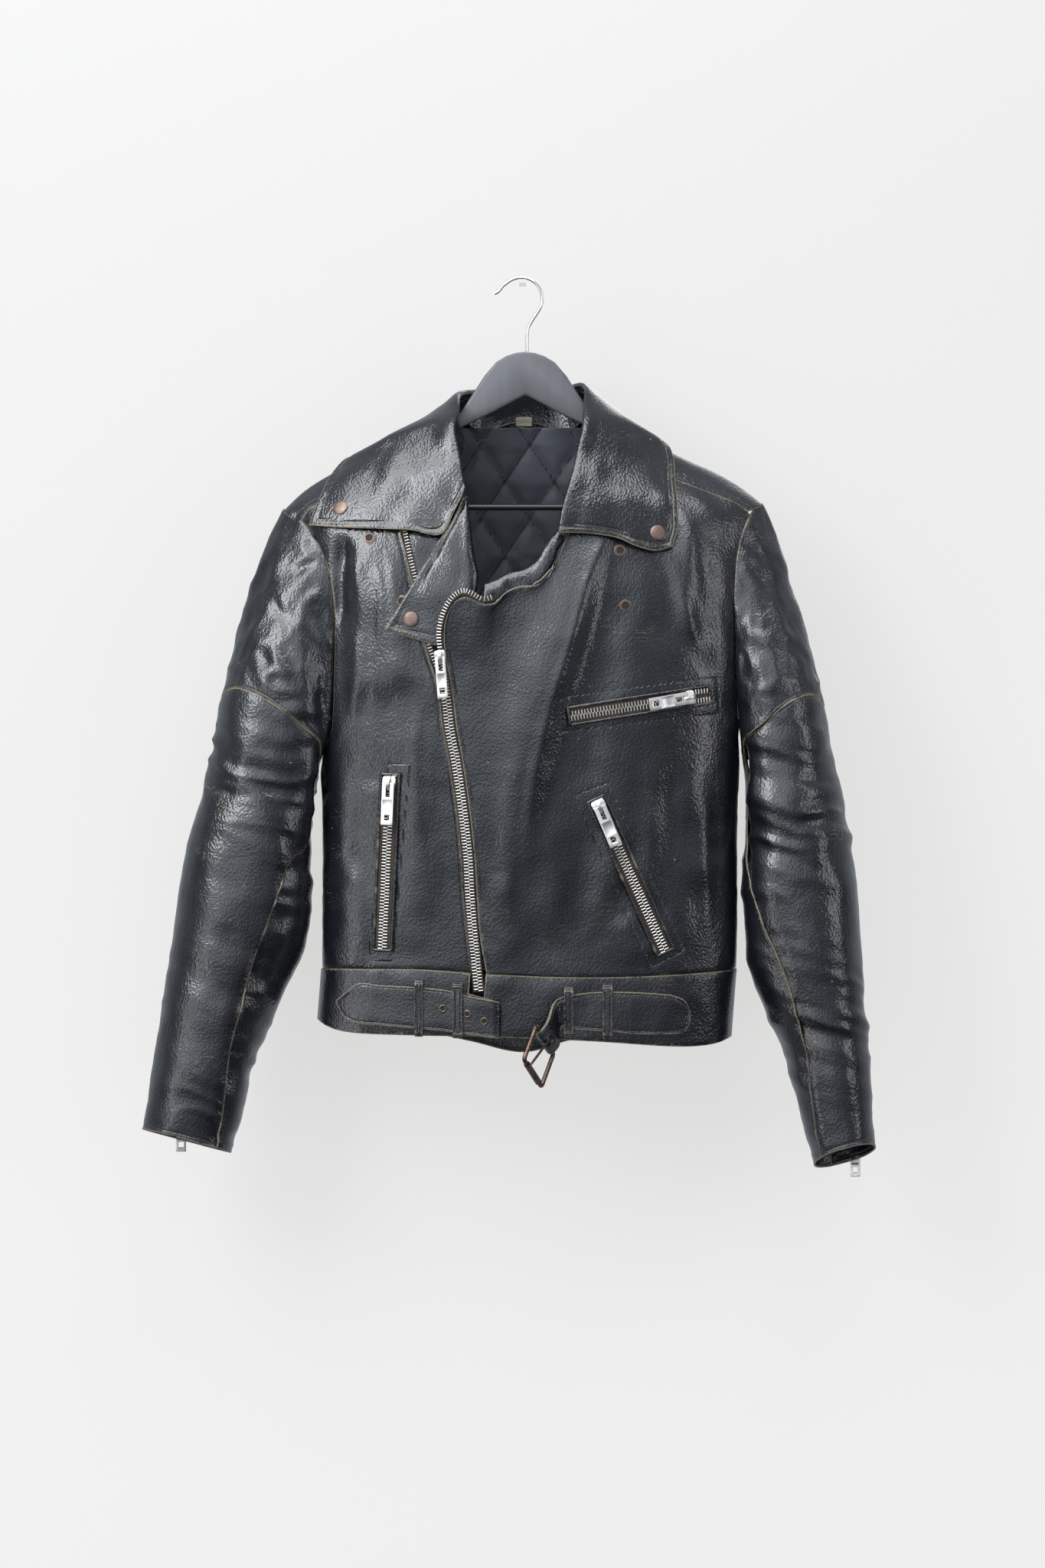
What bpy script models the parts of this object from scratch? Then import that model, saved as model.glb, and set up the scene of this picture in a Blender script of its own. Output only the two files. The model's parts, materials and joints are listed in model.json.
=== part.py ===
"""Worn leather biker jacket on a wooden hanger, one closed solid per cut piece.

Frame: +Z up, the front faces -Y, +X is the wearer's left. The origin is the underside
of the hook's crown, where a peg or a rail holds the hanger. Lengths in this file are in
millimetres, and MM turns them into the scene's metres when a mesh is made.
"""

import bpy
import numpy as np
from math import acos, atan2, cos, hypot, pi, radians, sin
from mathutils import Matrix, Vector
from mathutils.bvhtree import BVHTree

for old in list(bpy.data.objects):
    bpy.data.objects.remove(old, do_unlink=True)

MM = 0.001

# Driving dimensions
LEATHER = 1.6            # one thickness of cow leather
COLLAR_LEATHER = 1.8     # top and under collar pressed together
BAND_LEATHER = 2.6       # waistband, leather folded double
STRAP_LEATHER = 2.6      # belt strap, glued and stitched double
LINING = 1.2             # quilted lining
SEAM_GAP = 0.25          # each panel stops this far short of its seam line
ON_PANEL = 1.0           # clearance under a piece that lies on a panel
ZIP_TAPE = 5.2           # visible width of one half of the main zip
ZIP_SLOT = 6.0           # from the chain's centre line to the leather edge
SNAP_CAP_RADIUS = 7.3
SOCKET_RADIUS = 4.7
EYELET_RADIUS = 3.9
PULL_THICKNESS = 1.2
HANGER_THICKNESS = 13.0
HOOK_WIRE = 1.5          # radius of the hook's wire
HOOK_RADIUS = 20.0       # centre line of the hook's bow
BAR_RADIUS = 3.2         # trouser bar


# ---------------------------------------------------------------------------
# Materials
# ---------------------------------------------------------------------------

def material(name, color, roughness, metallic=0.0):
    made = bpy.data.materials.new(name)
    made.use_nodes = True
    shader = made.node_tree.nodes["Principled BSDF"]
    shader.inputs["Base Color"].default_value = (*color, 1.0)
    shader.inputs["Roughness"].default_value = roughness
    shader.inputs["Metallic"].default_value = metallic
    return made


leather = material("leather", (0.020, 0.021, 0.024), 0.38)
lining_cloth = material("lining", (0.012, 0.012, 0.014), 0.75)
zip_metal = material("zip_metal", (0.62, 0.61, 0.58), 0.32, 1.0)
zip_cloth = material("zip_tape", (0.075, 0.045, 0.025), 0.85)
snap_copper = material("snap_copper", (0.30, 0.17, 0.12), 0.42, 1.0)
buckle_metal = material("buckle_metal", (0.20, 0.14, 0.11), 0.45, 1.0)
eyelet_metal = material("eyelet_metal", (0.16, 0.12, 0.09), 0.40, 1.0)
hanger_wood = material("hanger_wood", (0.035, 0.036, 0.040), 0.45)
bar_paint = material("hanger_bar", (0.008, 0.008, 0.009), 0.25)
hook_chrome = material("hook_chrome", (0.78, 0.78, 0.78), 0.15, 1.0)
label_cloth = material("label", (0.70, 0.66, 0.58), 0.85)


# ---------------------------------------------------------------------------
# The hollow form that every panel of the body lies on
# ---------------------------------------------------------------------------

# height, right edge x, left edge x, front y, back y, side y, squareness
FORM_RINGS = np.array([
    (-760, -195, 196, -69, 52, -14, 2.6),
    (-715, -196, 197, -71, 52, -14, 2.6),
    (-652, -191, 202, -76, 53, -15, 2.6),
    (-600, -191, 203, -80, 54, -15, 2.5),
    (-520, -191, 203, -86, 55, -15, 2.4),
    (-460, -192, 205, -90, 56, -15, 2.4),
    (-380, -201, 213, -93, 57, -15, 2.3),
    (-300, -209, 219, -90, 56, -14, 2.2),
    (-250, -219, 225, -82, 52, -9, 2.0),
    (-219, -229, 229, -72, 46, -3, 1.9),
    (-213, -222, 228, -69, 45, -2, 1.8),
    (-199, -205, 209, -62, 42, 0, 1.7),
    (-182, -178, 180, -52, 38, 0, 1.7),
    (-169, -150, 150, -45, 34, 0, 1.7),
    (-162, -136, 136, -42, 32, 0, 1.7),
    (-142, -101, 101, -34, 28, 0, 1.8),
    (-128, -77, 77, -30, 26, 0, 1.9),
    (-116, -62, 62, -28, 26, 0, 2.0),
    (-100, -60, 60, -28, 26, 0, 2.0),
])

# The largest folds of the fronts: height of the ridge (negative for a hollow), half
# width, then the points along it from top to bottom.
FRONT_FOLDS = [
    (7.0, 14, [(72, -268), (57, -292), (46, -315), (38, -335), (31, -369),
               (20, -397), (17, -440), (11, -470), (8, -560), (8, -630)]),
    (-3.5, 16, [(100, -290), (82, -350), (58, -420), (44, -480)]),
    (3.5, 11, [(160, -222), (157, -270), (152, -335)]),
    (-4.5, 9, [(-172, -250), (-172, -290), (-170, -335)]),
    (3.0, 12, [(-152, -262), (-148, -330), (-146, -400)]),
    (3.0, 10, [(-158, -555), (-160, -590), (-158, -625)]),
]


def ring_at(z):
    """The form's ring at one height: centre x, half width, front, back, side, squareness."""
    columns = [np.interp(z, FORM_RINGS[:, 0], FORM_RINGS[:, k]) for k in range(1, 7)]
    right, left, front, back, side, square = columns
    return (left + right) / 2, (left - right) / 2, side - front, back - side, side, square


def along(points, share):
    """The point at a share of a polyline's length, the share running from 0 to 1."""
    points = np.asarray(points, float)
    steps = np.linalg.norm(np.diff(points[:, :2], axis=0), axis=1)
    places = np.concatenate([[0], np.cumsum(steps)]) / steps.sum()
    return np.array([np.interp(share, places, points[:, k]) for k in range(points.shape[1])])


FOLD_SPINES = [(height, width, np.array([along(points, k / 24) for k in range(25)]))
               for height, width, points in FRONT_FOLDS]


def fold_lift(x, z):
    """How far the folds move the front out at one place."""
    lift = 0.0
    for height, width, spine in FOLD_SPINES:
        gaps = np.hypot(spine[:, 0] - x, spine[:, 1] - z)
        near = int(gaps.argmin())
        fade = min(1.0, near / 3, (24 - near) / 3)
        lift += height * fade * np.exp(-(gaps[near] / width) ** 2)
    return lift


def bare_form(angle, z):
    """A point of the form. Angle 0 is the wearer's left side, pi / 2 the back centre."""
    middle, half, front, back, side, square = ring_at(z)
    c, s = cos(angle), sin(angle)
    x = middle + half * np.sign(c) * abs(c) ** (2 / square)
    depth = back if s > 0 else front
    return Vector((x, side + depth * np.sign(s) * abs(s) ** (2 / square), z))


def form(angle, z, out=0.0):
    """A point of the form moved out along its normal, folds included on the front."""
    here = bare_form(angle, z)
    turn = bare_form(angle + 0.03, z) - bare_form(angle - 0.03, z)
    rise = bare_form(angle, z + 3) - bare_form(angle, z - 3)
    normal = turn.cross(rise).normalized()
    if sin(angle) < -0.05:
        out = out + fold_lift(here.x, here.z) * min(1.0, -sin(angle) * 2.5)
    return here + normal * out


def form_angle(x, z, back=False):
    """The angle at which the form passes through x at height z."""
    middle, half, _, _, _, square = ring_at(z)
    share = max(-1.0, min(1.0, (x - middle) / half))
    c = np.sign(share) * abs(share) ** (square / 2)
    return acos(c) * (1 if back else -1)


def on_front(x, z, out=0.0):
    return form(form_angle(x, z), z, out)


def on_back(x, z, out=0.0):
    return form(form_angle(x, z, back=True), z, out)


def ridge_height(x):
    """Height of the shoulder line above a place x."""
    top = FORM_RINGS[9:]
    edge = top[:, 2] if x > 0 else -top[:, 1]
    return float(np.interp(abs(x), edge[::-1], top[::-1, 0]))


# ---------------------------------------------------------------------------
# Solids
# ---------------------------------------------------------------------------

def finish(name, mesh_points, faces, surface, origin=(0, 0, 0)):
    """Make an object from points in millimetres, its faces pointing out.

    A moving piece gives its origin, a point on its joint's axis.
    """
    mesh = bpy.data.meshes.new(name)
    mesh.from_pydata([(Vector(p) - Vector(origin)) * MM for p in mesh_points], [], faces)
    mesh.update()
    volume = 0.0
    for face in mesh.polygons:
        corners = [mesh.vertices[k].co for k in face.vertices]
        for k in range(1, len(corners) - 1):
            volume += corners[0].dot(corners[k].cross(corners[k + 1]))
    if volume < 0:
        mesh.flip_normals()
    mesh.materials.append(surface)
    mesh.shade_smooth()
    mesh.set_sharp_from_angle(angle=radians(40))
    made = bpy.data.objects.new(name, mesh)
    made.location = Vector(origin) * MM
    bpy.context.scene.collection.objects.link(made)
    return made


def grid_normals(grid):
    """Vertex normals of a grid, lengthened at a bend so that a wall keeps its thickness."""
    rows, cols = len(grid), len(grid[0])
    face_normals = {}
    for r in range(rows - 1):
        for c in range(cols - 1):
            a, b = grid[r + 1][c + 1] - grid[r][c], grid[r + 1][c] - grid[r][c + 1]
            face_normals[r, c] = a.cross(b).normalized()
    normals = []
    for r in range(rows):
        line = []
        for c in range(cols):
            near = [face_normals[i, j] for i in (r - 1, r) for j in (c - 1, c)
                    if (i, j) in face_normals]
            mean = sum(near, Vector()).normalized()
            lean = max(0.6, min(mean.dot(n) for n in near))
            line.append(mean / lean)
        normals.append(line)
    return normals


def pull_in(grid, gap):
    """Move a grid's border inwards along the surface. Gap: bottom, right, top, left."""
    bottom, right, top, left = gap
    moved = [list(line) for line in grid]
    for c in range(len(grid[0])):
        for edge, inner, width in ((0, 1, bottom), (-1, -2, top)):
            step = moved[inner][c] - moved[edge][c]
            moved[edge][c] = moved[edge][c] + step.normalized() * min(width, step.length / 3)
    for line in moved:
        for edge, inner, width in ((0, 1, left), (-1, -2, right)):
            step = line[inner] - line[edge]
            line[edge] = line[edge] + step.normalized() * min(width, step.length / 3)
    return moved


def wall(name, grid, thickness, surface, inside=None, side=1, skip=(), gap=SEAM_GAP):
    """A closed wall on a grid of points: the grid is the outer skin.

    The inner skin lies towards the point `inside`, or on the given side of the grid's
    own normals. `skip` lists cells (row, column) that are cut away.
    """
    gaps = gap if isinstance(gap, tuple) else (gap,) * 4
    grid = pull_in([[Vector(p) for p in line] for line in grid], gaps)
    rows, cols = len(grid), len(grid[0])
    normals = grid_normals(grid)
    if inside is not None:
        lean = sum((Vector(inside) - grid[r][c]).dot(normals[r][c])
                   for r in range(rows) for c in range(cols))
        side = 1 if lean > 0 else -1
    cells = {(r, c) for r in range(rows - 1) for c in range(cols - 1)} - set(skip)
    used = sorted({(r + i, c + j) for r, c in cells for i in (0, 1) for j in (0, 1)})
    number = {key: k for k, key in enumerate(used)}
    points = [grid[r][c] for r, c in used]
    points += [grid[r][c] + normals[r][c] * thickness * side for r, c in used]
    size = len(used)
    faces = []
    edges = {}
    for r, c in sorted(cells):
        loop = [number[r, c], number[r, c + 1], number[r + 1, c + 1], number[r + 1, c]]
        faces.append(loop)
        faces.append([k + size for k in reversed(loop)])
        for a, b in zip(loop, loop[1:] + loop[:1]):
            edges[a, b] = True
    for a, b in sorted(edges):
        if (b, a) not in edges:
            faces.append([b, a, a + size, b + size])
    return finish(name, points, faces, surface)


def outer_tree(*objects):
    """A tree for casting rays at finished solids, in millimetres."""
    points, faces = [], []
    for made in objects:
        base = len(points)
        points += [v.co / MM for v in made.data.vertices]
        faces += [[base + k for k in face.vertices] for face in made.data.polygons]
    return BVHTree.FromPolygons(points, faces)


def lay(tree, x, z, out, back=False):
    """The point over a finished solid at (x, z), and the solid's normal there."""
    start = Vector((x, 400 if back else -400, z))
    hit, normal, _, _ = tree.ray_cast(start, Vector((0, -1 if back else 1, 0)))
    return hit + normal * out, normal


def lathe(name, profile, centre, axis, surface, segments=14):
    """Turn a closed (radius, height) profile about an axis through the centre."""
    turn = Vector((0, 0, 1)).rotation_difference(Vector(axis)).to_matrix()
    points, faces = [], []
    rings = []
    for radius, height in profile:
        if radius < 1e-6:
            rings.append([len(points)])
            points.append(Vector(centre) + turn @ Vector((0, 0, height)))
            continue
        rings.append(list(range(len(points), len(points) + segments)))
        for k in range(segments):
            t = 2 * pi * k / segments
            points.append(Vector(centre) + turn @ Vector((radius * cos(t), radius * sin(t), height)))
    for low, high in zip(rings, rings[1:] + rings[:1]):
        if len(low) == 1 and len(high) == 1:
            continue
        for k in range(segments):
            n = (k + 1) % segments
            if len(low) == 1:
                faces.append([low[0], high[n], high[k]])
            elif len(high) == 1:
                faces.append([low[k], low[n], high[0]])
            else:
                faces.append([low[k], low[n], high[n], high[k]])
    return finish(name, points, faces, surface)


def wire(name, path, radius, surface, sides=8, closed=False, origin=(0, 0, 0)):
    """A round wire along a path, its ends capped with flat discs."""
    path = [Vector(p) for p in path]
    count = len(path)
    points, faces = [], []
    across = None
    for k, here in enumerate(path):
        if closed:
            step = path[(k + 1) % count] - path[k - 1]
        else:
            step = path[min(k + 1, count - 1)] - path[max(k - 1, 0)]
        step.normalize()
        if across is None:
            across = step.orthogonal().normalized()
        across = (across - step * across.dot(step)).normalized()
        other = step.cross(across)
        for j in range(sides):
            t = 2 * pi * j / sides
            points.append(here + (across * cos(t) + other * sin(t)) * radius)
    for k in range(count if closed else count - 1):
        n = (k + 1) % count
        for j in range(sides):
            m = (j + 1) % sides
            faces.append([k * sides + j, k * sides + m, n * sides + m, n * sides + j])
    if not closed:
        faces.append(list(reversed(range(sides))))
        faces.append([(count - 1) * sides + j for j in range(sides)])
    return finish(name, points, faces, surface, origin)


def blocks(name, lines, filled, frame, surface, origin=(0, 0, 0)):
    """A solid of box cells. lines: three lists of cell borders, along, across and out.

    filled holds the cells (i, j, k) that are solid, and frame is the place of the
    cells' zero point and the three directions.
    """
    centre, axes = frame
    filled = set(filled)
    number, points, faces = {}, [], []

    def corner(i, j, k):
        if (i, j, k) not in number:
            number[i, j, k] = len(points)
            places = (lines[0][i], lines[1][j], lines[2][k])
            points.append(centre + sum((a * p for a, p in zip(axes, places)), Vector()))
        return number[i, j, k]

    sides = {(1, 0, 0): [(1, 0, 0), (1, 1, 0), (1, 1, 1), (1, 0, 1)],
             (-1, 0, 0): [(0, 0, 0), (0, 0, 1), (0, 1, 1), (0, 1, 0)],
             (0, 1, 0): [(0, 1, 0), (0, 1, 1), (1, 1, 1), (1, 1, 0)],
             (0, -1, 0): [(0, 0, 0), (1, 0, 0), (1, 0, 1), (0, 0, 1)],
             (0, 0, 1): [(0, 0, 1), (1, 0, 1), (1, 1, 1), (0, 1, 1)],
             (0, 0, -1): [(0, 0, 0), (0, 1, 0), (1, 1, 0), (1, 0, 0)]}
    for cell in sorted(filled):
        for step, loop in sides.items():
            if tuple(c + d for c, d in zip(cell, step)) not in filled:
                faces.append([corner(*(c + d for c, d in zip(cell, turn))) for turn in loop])
    return finish(name, points, faces, surface, origin)


# ---------------------------------------------------------------------------
# Seam lines
# ---------------------------------------------------------------------------

# Armhole seams from the shoulder tip down the front to the underarm: x, height
ARMHOLE_RIGHT = [(-226, -219.5), (-211, -230), (-202, -239), (-193, -256), (-186, -273),
                 (-182, -293), (-180, -316), (-179, -346), (-180, -395), (-183, -438)]
ARMHOLE_LEFT = [(226, -214.5), (216, -224), (209, -235), (202, -264), (199, -306),
                (200, -335), (200, -365), (201, -395), (203, -424), (204, -440)]
TIP_HEIGHT = {1: -213.5, -1: -219}
UNDERARM = -462.0
WAIST = -653.0
YOKE_NECK = (61.0, -160.0)             # front yoke seam where it meets the neckline
YOKE_TIP = {1: (211, -219.5), -1: (-211, -230)}
YOKE_COLUMNS = 7

# Centre line of each half of the main zip from the waistband up: x, height, lift
ZIP_CLOSED = [(-42, -675, 1.0), (-45, -645, 0.6), (-48, -615, 0.6), (-50.5, -581, 0.6),
              (-52, -551, 0.6), (-55, -521, 0.6), (-59, -489, 0.6), (-64, -455, 0.6),
              (-69, -430, 0.6), (-72.5, -400, 0.6), (-76, -378, 1.0)]
# The left half's open end curls over towards the neck
ZIP_CURL = [(-64, -300, 12.4), (-54, -297, 12.4), (-45, -300, 12.4), (-37, -303.5, 12.0),
            (-29, -301.5, 10.8)]
ZIP_LEFT = ZIP_CLOSED + [(-78.5, -364, 3.2), (-80, -350, 6.5), (-80.3, -335, 9.2),
                         (-77, -320, 11.0), (-71, -307.5, 12.0)] + ZIP_CURL
ZIP_RIGHT = ZIP_CLOSED + [(-80.5, -364, 2.0), (-86, -350, 0.9), (-93, -318, 0.8),
                          (-99, -288, 0.8), (-105, -262, 0.8), (-110, -238, 0.8)]


def beside(path, k, reach):
    """The place beside point k of a zip's path, to the right of its run if reach > 0."""
    before, after = path[max(k - 1, 0)], path[min(k + 1, len(path) - 1)]
    run, rise = after[0] - before[0], after[1] - before[1]
    length = hypot(run, rise)
    return path[k][0] + rise / length * reach, path[k][1] - run / length * reach


# Rows of the left front, by place on the side: 0 to 1 up the side seam, 1 to 2 up the
# armhole. The zip edge's height on each row stands beside it.
LEFT_ROWS = [(0.0, -654), (0.2, -622), (0.4, -588), (0.6, -552), (0.8, -515), (1.0, -478),
             (1.09, -450), (1.19, -424), (1.3, -400), (1.42, -379), (1.54, -361),
             (1.66, -344), (1.78, -330), (1.9, -318), (2.0, -307)]
# Open top edge of the left front after the zip's curl, up to the yoke: x, height, lift
LEFT_TOP = [(-19, -297.5, 8.5), (-8, -292, 6.5), (5, -290.5, 5), (17, -280, 3.5),
            (27, -264, 2.5), (34, -246, 1), (43, -220, 0.5), (52, -190, 0.2), (61, -160, 0)]
# Front edge of the wearer's right front, waist to neckline: x, height, place on the side
RIGHT_FRONT_EDGE = [
    (-48.5, -654, 0.0), (-52.5, -622, 0.2), (-56, -588, 0.4), (-58, -552, 0.6),
    (-61.5, -515, 0.8), (-66.5, -478, 1.0), (-71, -450, 1.09), (-76, -424, 1.19),
    (-78.5, -400, 1.3), (-82.5, -379, 1.36), (-89, -360, 1.42), (-93.5, -344, 1.47),
    (-99, -318, 1.54), (-105, -288, 1.62), (-111, -262, 1.72), (-116, -238, 1.8),
    (-108, -213, 1.87), (-86, -188, 1.94), (-61, -160, 2.0)]


def side_of(x):
    return 1 if x > 0 else -1


def side_angle(side, back=False):
    """Angle of the side seam, on the sheet of the form that the caller follows."""
    if side > 0:
        return 0.0
    return pi if back else -pi


def armhole(side, back=False):
    """Side seam and armhole as (angle, height) from the waist up to the yoke seam."""
    table = ARMHOLE_LEFT if side > 0 else ARMHOLE_RIGHT
    line = [(side_angle(side, back), WAIST), (side_angle(side, back), UNDERARM)]
    for x, z in reversed(table[1:]):
        line.append((form_angle(x, z, back), z))
    return line


def side_point(side, place, back=False):
    """The (angle, height) at a place: 0 to 1 up the side seam, 1 to 2 up the armhole."""
    if place <= 1:
        return side_angle(side, back), WAIST + (UNDERARM - WAIST) * place
    line = armhole(side, back)[1:]
    spots = [bare_form(angle, z) for angle, z in line]
    steps = [(b - a).length for a, b in zip(spots, spots[1:])]
    places = 1 + np.concatenate([[0], np.cumsum(steps)]) / sum(steps)
    angle = np.interp(place, places, [p[0] for p in line])
    return float(angle), float(np.interp(place, places, [p[1] for p in line]))


def yoke_seam(side, share, back=False):
    """The yoke seam from the neckline to the armhole, as (angle, height)."""
    tip_x, tip_z = YOKE_TIP[side]
    neck = form_angle(YOKE_NECK[0] * side, YOKE_NECK[1], back)
    tip = form_angle(tip_x, tip_z, back)
    return neck + (tip - neck) * share, YOKE_NECK[1] + (tip_z - YOKE_NECK[1]) * share


def waist_drop(x):
    """The waist seam dips a little towards the wearer's left of centre."""
    return -8.0 * max(0.0, 1 - ((x - 60) / 150) ** 2)


# ---------------------------------------------------------------------------
# Body panels
# ---------------------------------------------------------------------------

def waist_point(angle):
    return angle, WAIST + waist_drop(bare_form(angle, WAIST).x)


def left_front_grid():
    """Between four borders: waist, side and armhole, open top edge and yoke, zip."""
    turn = len(ZIP_LEFT) - len(ZIP_CURL)
    zip_edge = [beside(ZIP_LEFT, k, ZIP_SLOT) + (ZIP_LEFT[k][2] - 0.4,) for k in range(turn)]
    zip_edge.sort(key=lambda spot: spot[1])
    heights = [spot[1] for spot in zip_edge]
    top = [beside(ZIP_LEFT, k, ZIP_SLOT) + (ZIP_LEFT[k][2] - 0.4,)
           for k in range(turn - 1, len(ZIP_LEFT))] + LEFT_TOP
    corner = top[0]
    top_line = [(form_angle(x, z), z) for x, z, _ in top]
    top_line += [yoke_seam(1, k / YOKE_COLUMNS) for k in range(1, YOKE_COLUMNS + 1)]
    top_lift = [lift for _, _, lift in top] + [0.0] * YOKE_COLUMNS
    count = len(top_line) - 1
    bottom_start = form_angle(zip_edge[0][0] + 1.5, WAIST)
    bottom = [waist_point(bottom_start * (1 - k / count)) for k in range(count + 1)]
    grid = []
    for place, height in LEFT_ROWS:
        v = (height - LEFT_ROWS[0][1]) / (LEFT_ROWS[-1][1] - LEFT_ROWS[0][1])
        x, lift = [float(np.interp(height, heights, [spot[k] for spot in zip_edge]))
                   for k in (0, 2)]
        if place == 2:
            x, height, lift = corner
        left, right = (form_angle(x, height), height), side_point(1, place)
        if place == 0:
            left, right = bottom[0], bottom[-1]
        line = []
        for k in range(count + 1):
            u = k / count
            spot = []
            for i in (0, 1):
                ends = ((1 - v) * ((1 - u) * bottom[0][i] + u * bottom[-1][i])
                        + v * ((1 - u) * top_line[0][i] + u * top_line[-1][i]))
                spot.append((1 - v) * bottom[k][i] + v * top_line[k][i]
                            + (1 - u) * left[i] + u * right[i] - ends)
            near_zip, near_top = (1 - u) ** 5, v ** 9
            out = (lift * near_zip + top_lift[k] * near_top
                   - corner[2] * near_zip * near_top)
            line.append(form(spot[0], spot[1], out))
        grid.append(line)
    return grid


def right_front_grid(columns):
    """Rows of points from the zip edge to the side seam and armhole."""
    grid = []
    for x, z, place in RIGHT_FRONT_EDGE:
        angle, (end_angle, end_height) = form_angle(x, z), side_point(-1, place)
        line = []
        for k in range(columns + 1):
            u = k / columns
            spot = (angle + (end_angle - angle) * u, z + (end_height - z) * u)
            if place == 2:
                spot = yoke_seam(-1, u)
            if place == 0:
                spot = waist_point(spot[0])
            line.append(form(*spot))
        grid.append(line)
    return grid


INSIDE = (0, -10, -430)
front_left = wall("front_left", left_front_grid(), LEATHER, leather, INSIDE,
                  gap=(0.3, 0.9, 0.9, 0.6))
front_right = wall("front_right", right_front_grid(YOKE_COLUMNS), LEATHER, leather,
                   INSIDE, gap=(0.3, 0.9, 0.9, 0.6))


def yoke_grid(side):
    """From the front yoke seam over the shoulder line to the back yoke seam."""
    columns = []
    for k in range(YOKE_COLUMNS + 1):
        u = k / YOKE_COLUMNS
        front_a, front_z = yoke_seam(side, u)
        seam = bare_form(front_a, front_z)
        ridge_x = side * (68 + (226.5 - 68) * u)
        ridge_z = ridge_height(ridge_x) if u < 1 else TIP_HEIGHT[side]
        line = []
        for v in (0, 0.4, 0.75):
            line.append(on_front(seam.x + (ridge_x - seam.x) * v,
                                 front_z + (ridge_z - front_z) * v))
        line.append(Vector((ridge_x, ring_at(ridge_z)[4], ridge_z)))
        for v in (0.75, 0.4, 0):
            line.append(on_back(seam.x + (ridge_x - seam.x) * v,
                                front_z + (ridge_z - front_z) * v))
        columns.append(line)
    return [list(line) for line in zip(*columns)]


for side, name in ((1, "yoke_left"), (-1, "yoke_right")):
    wall(name, yoke_grid(side), LEATHER, leather, (side * 120, 0, -300),
         gap=(1.3, 0.9, 1.3, 4.0))

# Places of the back's rows on the side, as on the fronts
BACK_PLACES = [0, 0.2, 0.4, 0.6, 0.8, 1, 1.09, 1.19, 1.3, 1.42, 1.54, 1.66, 1.78, 1.9, 2]
NECK_COLUMNS = 4
NECK_BACK_HEIGHT = -138.0


def back_grid(out=0.0):
    """The back from the waist to the yoke seams and the neckline."""
    top = [yoke_seam(1, 1 - k / YOKE_COLUMNS, True) for k in range(YOKE_COLUMNS + 1)]
    mirror = [yoke_seam(-1, k / YOKE_COLUMNS, True) for k in range(YOKE_COLUMNS + 1)]
    for k in range(1, NECK_COLUMNS):
        u = k / NECK_COLUMNS
        angle = top[YOKE_COLUMNS][0] * (1 - u) + mirror[0][0] * u
        top.append((angle, NECK_BACK_HEIGHT - 6 * abs(2 * u - 1)))
    top += mirror
    count = len(top) - 1
    grid = []
    for place in BACK_PLACES:
        left, right = side_point(1, place, True), side_point(-1, place, True)
        lean = max(0.0, place - 1) ** 1.5
        line = []
        for k in range(count + 1):
            u = k / count
            a = left[0] + (right[0] - left[0]) * u
            h = left[1] + (right[1] - left[1]) * u
            drift, rise = [top[k][i] - (top[0][i] * (1 - u) + top[-1][i] * u) for i in (0, 1)]
            line.append(form(a + drift * lean, h + rise * lean, out))
        grid.append(line)
    return grid


wall("back", back_grid(), LEATHER, leather, INSIDE, gap=(0.3, 2.2, 1.2, 2.2))
wall("lining_back", back_grid(-4.4), LINING, lining_cloth, INSIDE, gap=(3.0, 12.0, 2.0, 12.0))

# ---------------------------------------------------------------------------
# Waistband
# ---------------------------------------------------------------------------

# Hem of the front and of the back, from the wearer's right to the left: x, height
HEM_FRONT = np.array([(-197, -701), (-185, -710), (-163, -715), (-99, -717), (-25, -718),
                      (42, -721), (82, -723), (128, -727), (163, -728), (184, -725),
                      (199, -717)])
HEM_BACK = np.array([(-197, -701), (-175, -709), (-100, -714), (-57, -722), (-28, -731),
                     (-8, -736), (14, -732), (42, -722), (100, -722), (170, -724),
                     (199, -717)])
BAND_RAISE = 0.6           # the doubled band stands proud of the panels


def band_top(angle):
    x = bare_form(angle, WAIST).x
    return WAIST - 0.5 + (waist_drop(x) if angle < 0 else 0)


def band_hem(angle):
    hem = HEM_BACK if angle > 0 else HEM_FRONT
    return float(np.interp(bare_form(angle, -715).x, hem[:, 0], hem[:, 1]))


def band_grid(angles):
    grid = []
    for v in (0.0, 0.33, 0.66, 1.0):
        line = []
        for angle in angles:
            top, hem = band_top(angle), band_hem(angle)
            line.append(form(angle, hem + (top - hem) * v, BAND_RAISE))
        grid.append(line)
    return grid


BAND_GAPS = (0.3, 1.0, 0.3, 1.0)


def band_front(name, side, edge_x, notch_x):
    """One half of the front band, with the zip's notch cut from its upper front end."""
    edge = form_angle(edge_x, -708)
    notch = form_angle(notch_x, -665)
    outer = side_angle(side)
    angles = [edge] + [notch + (outer - notch) * k / 9 for k in range(10)]
    wall(name, band_grid(angles), BAND_LEATHER, leather, INSIDE, skip={(2, 0), (1, 0)},
         gap=BAND_GAPS)


band_front("waistband_left", 1, -42.2, -36.0)
band_front("waistband_right", -1, -42.8, -50.5)
wall("waistband_back", band_grid([pi * k / 18 for k in range(19)]), BAND_LEATHER, leather,
     INSIDE, gap=BAND_GAPS)

# ---------------------------------------------------------------------------
# Sleeves
# ---------------------------------------------------------------------------

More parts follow.
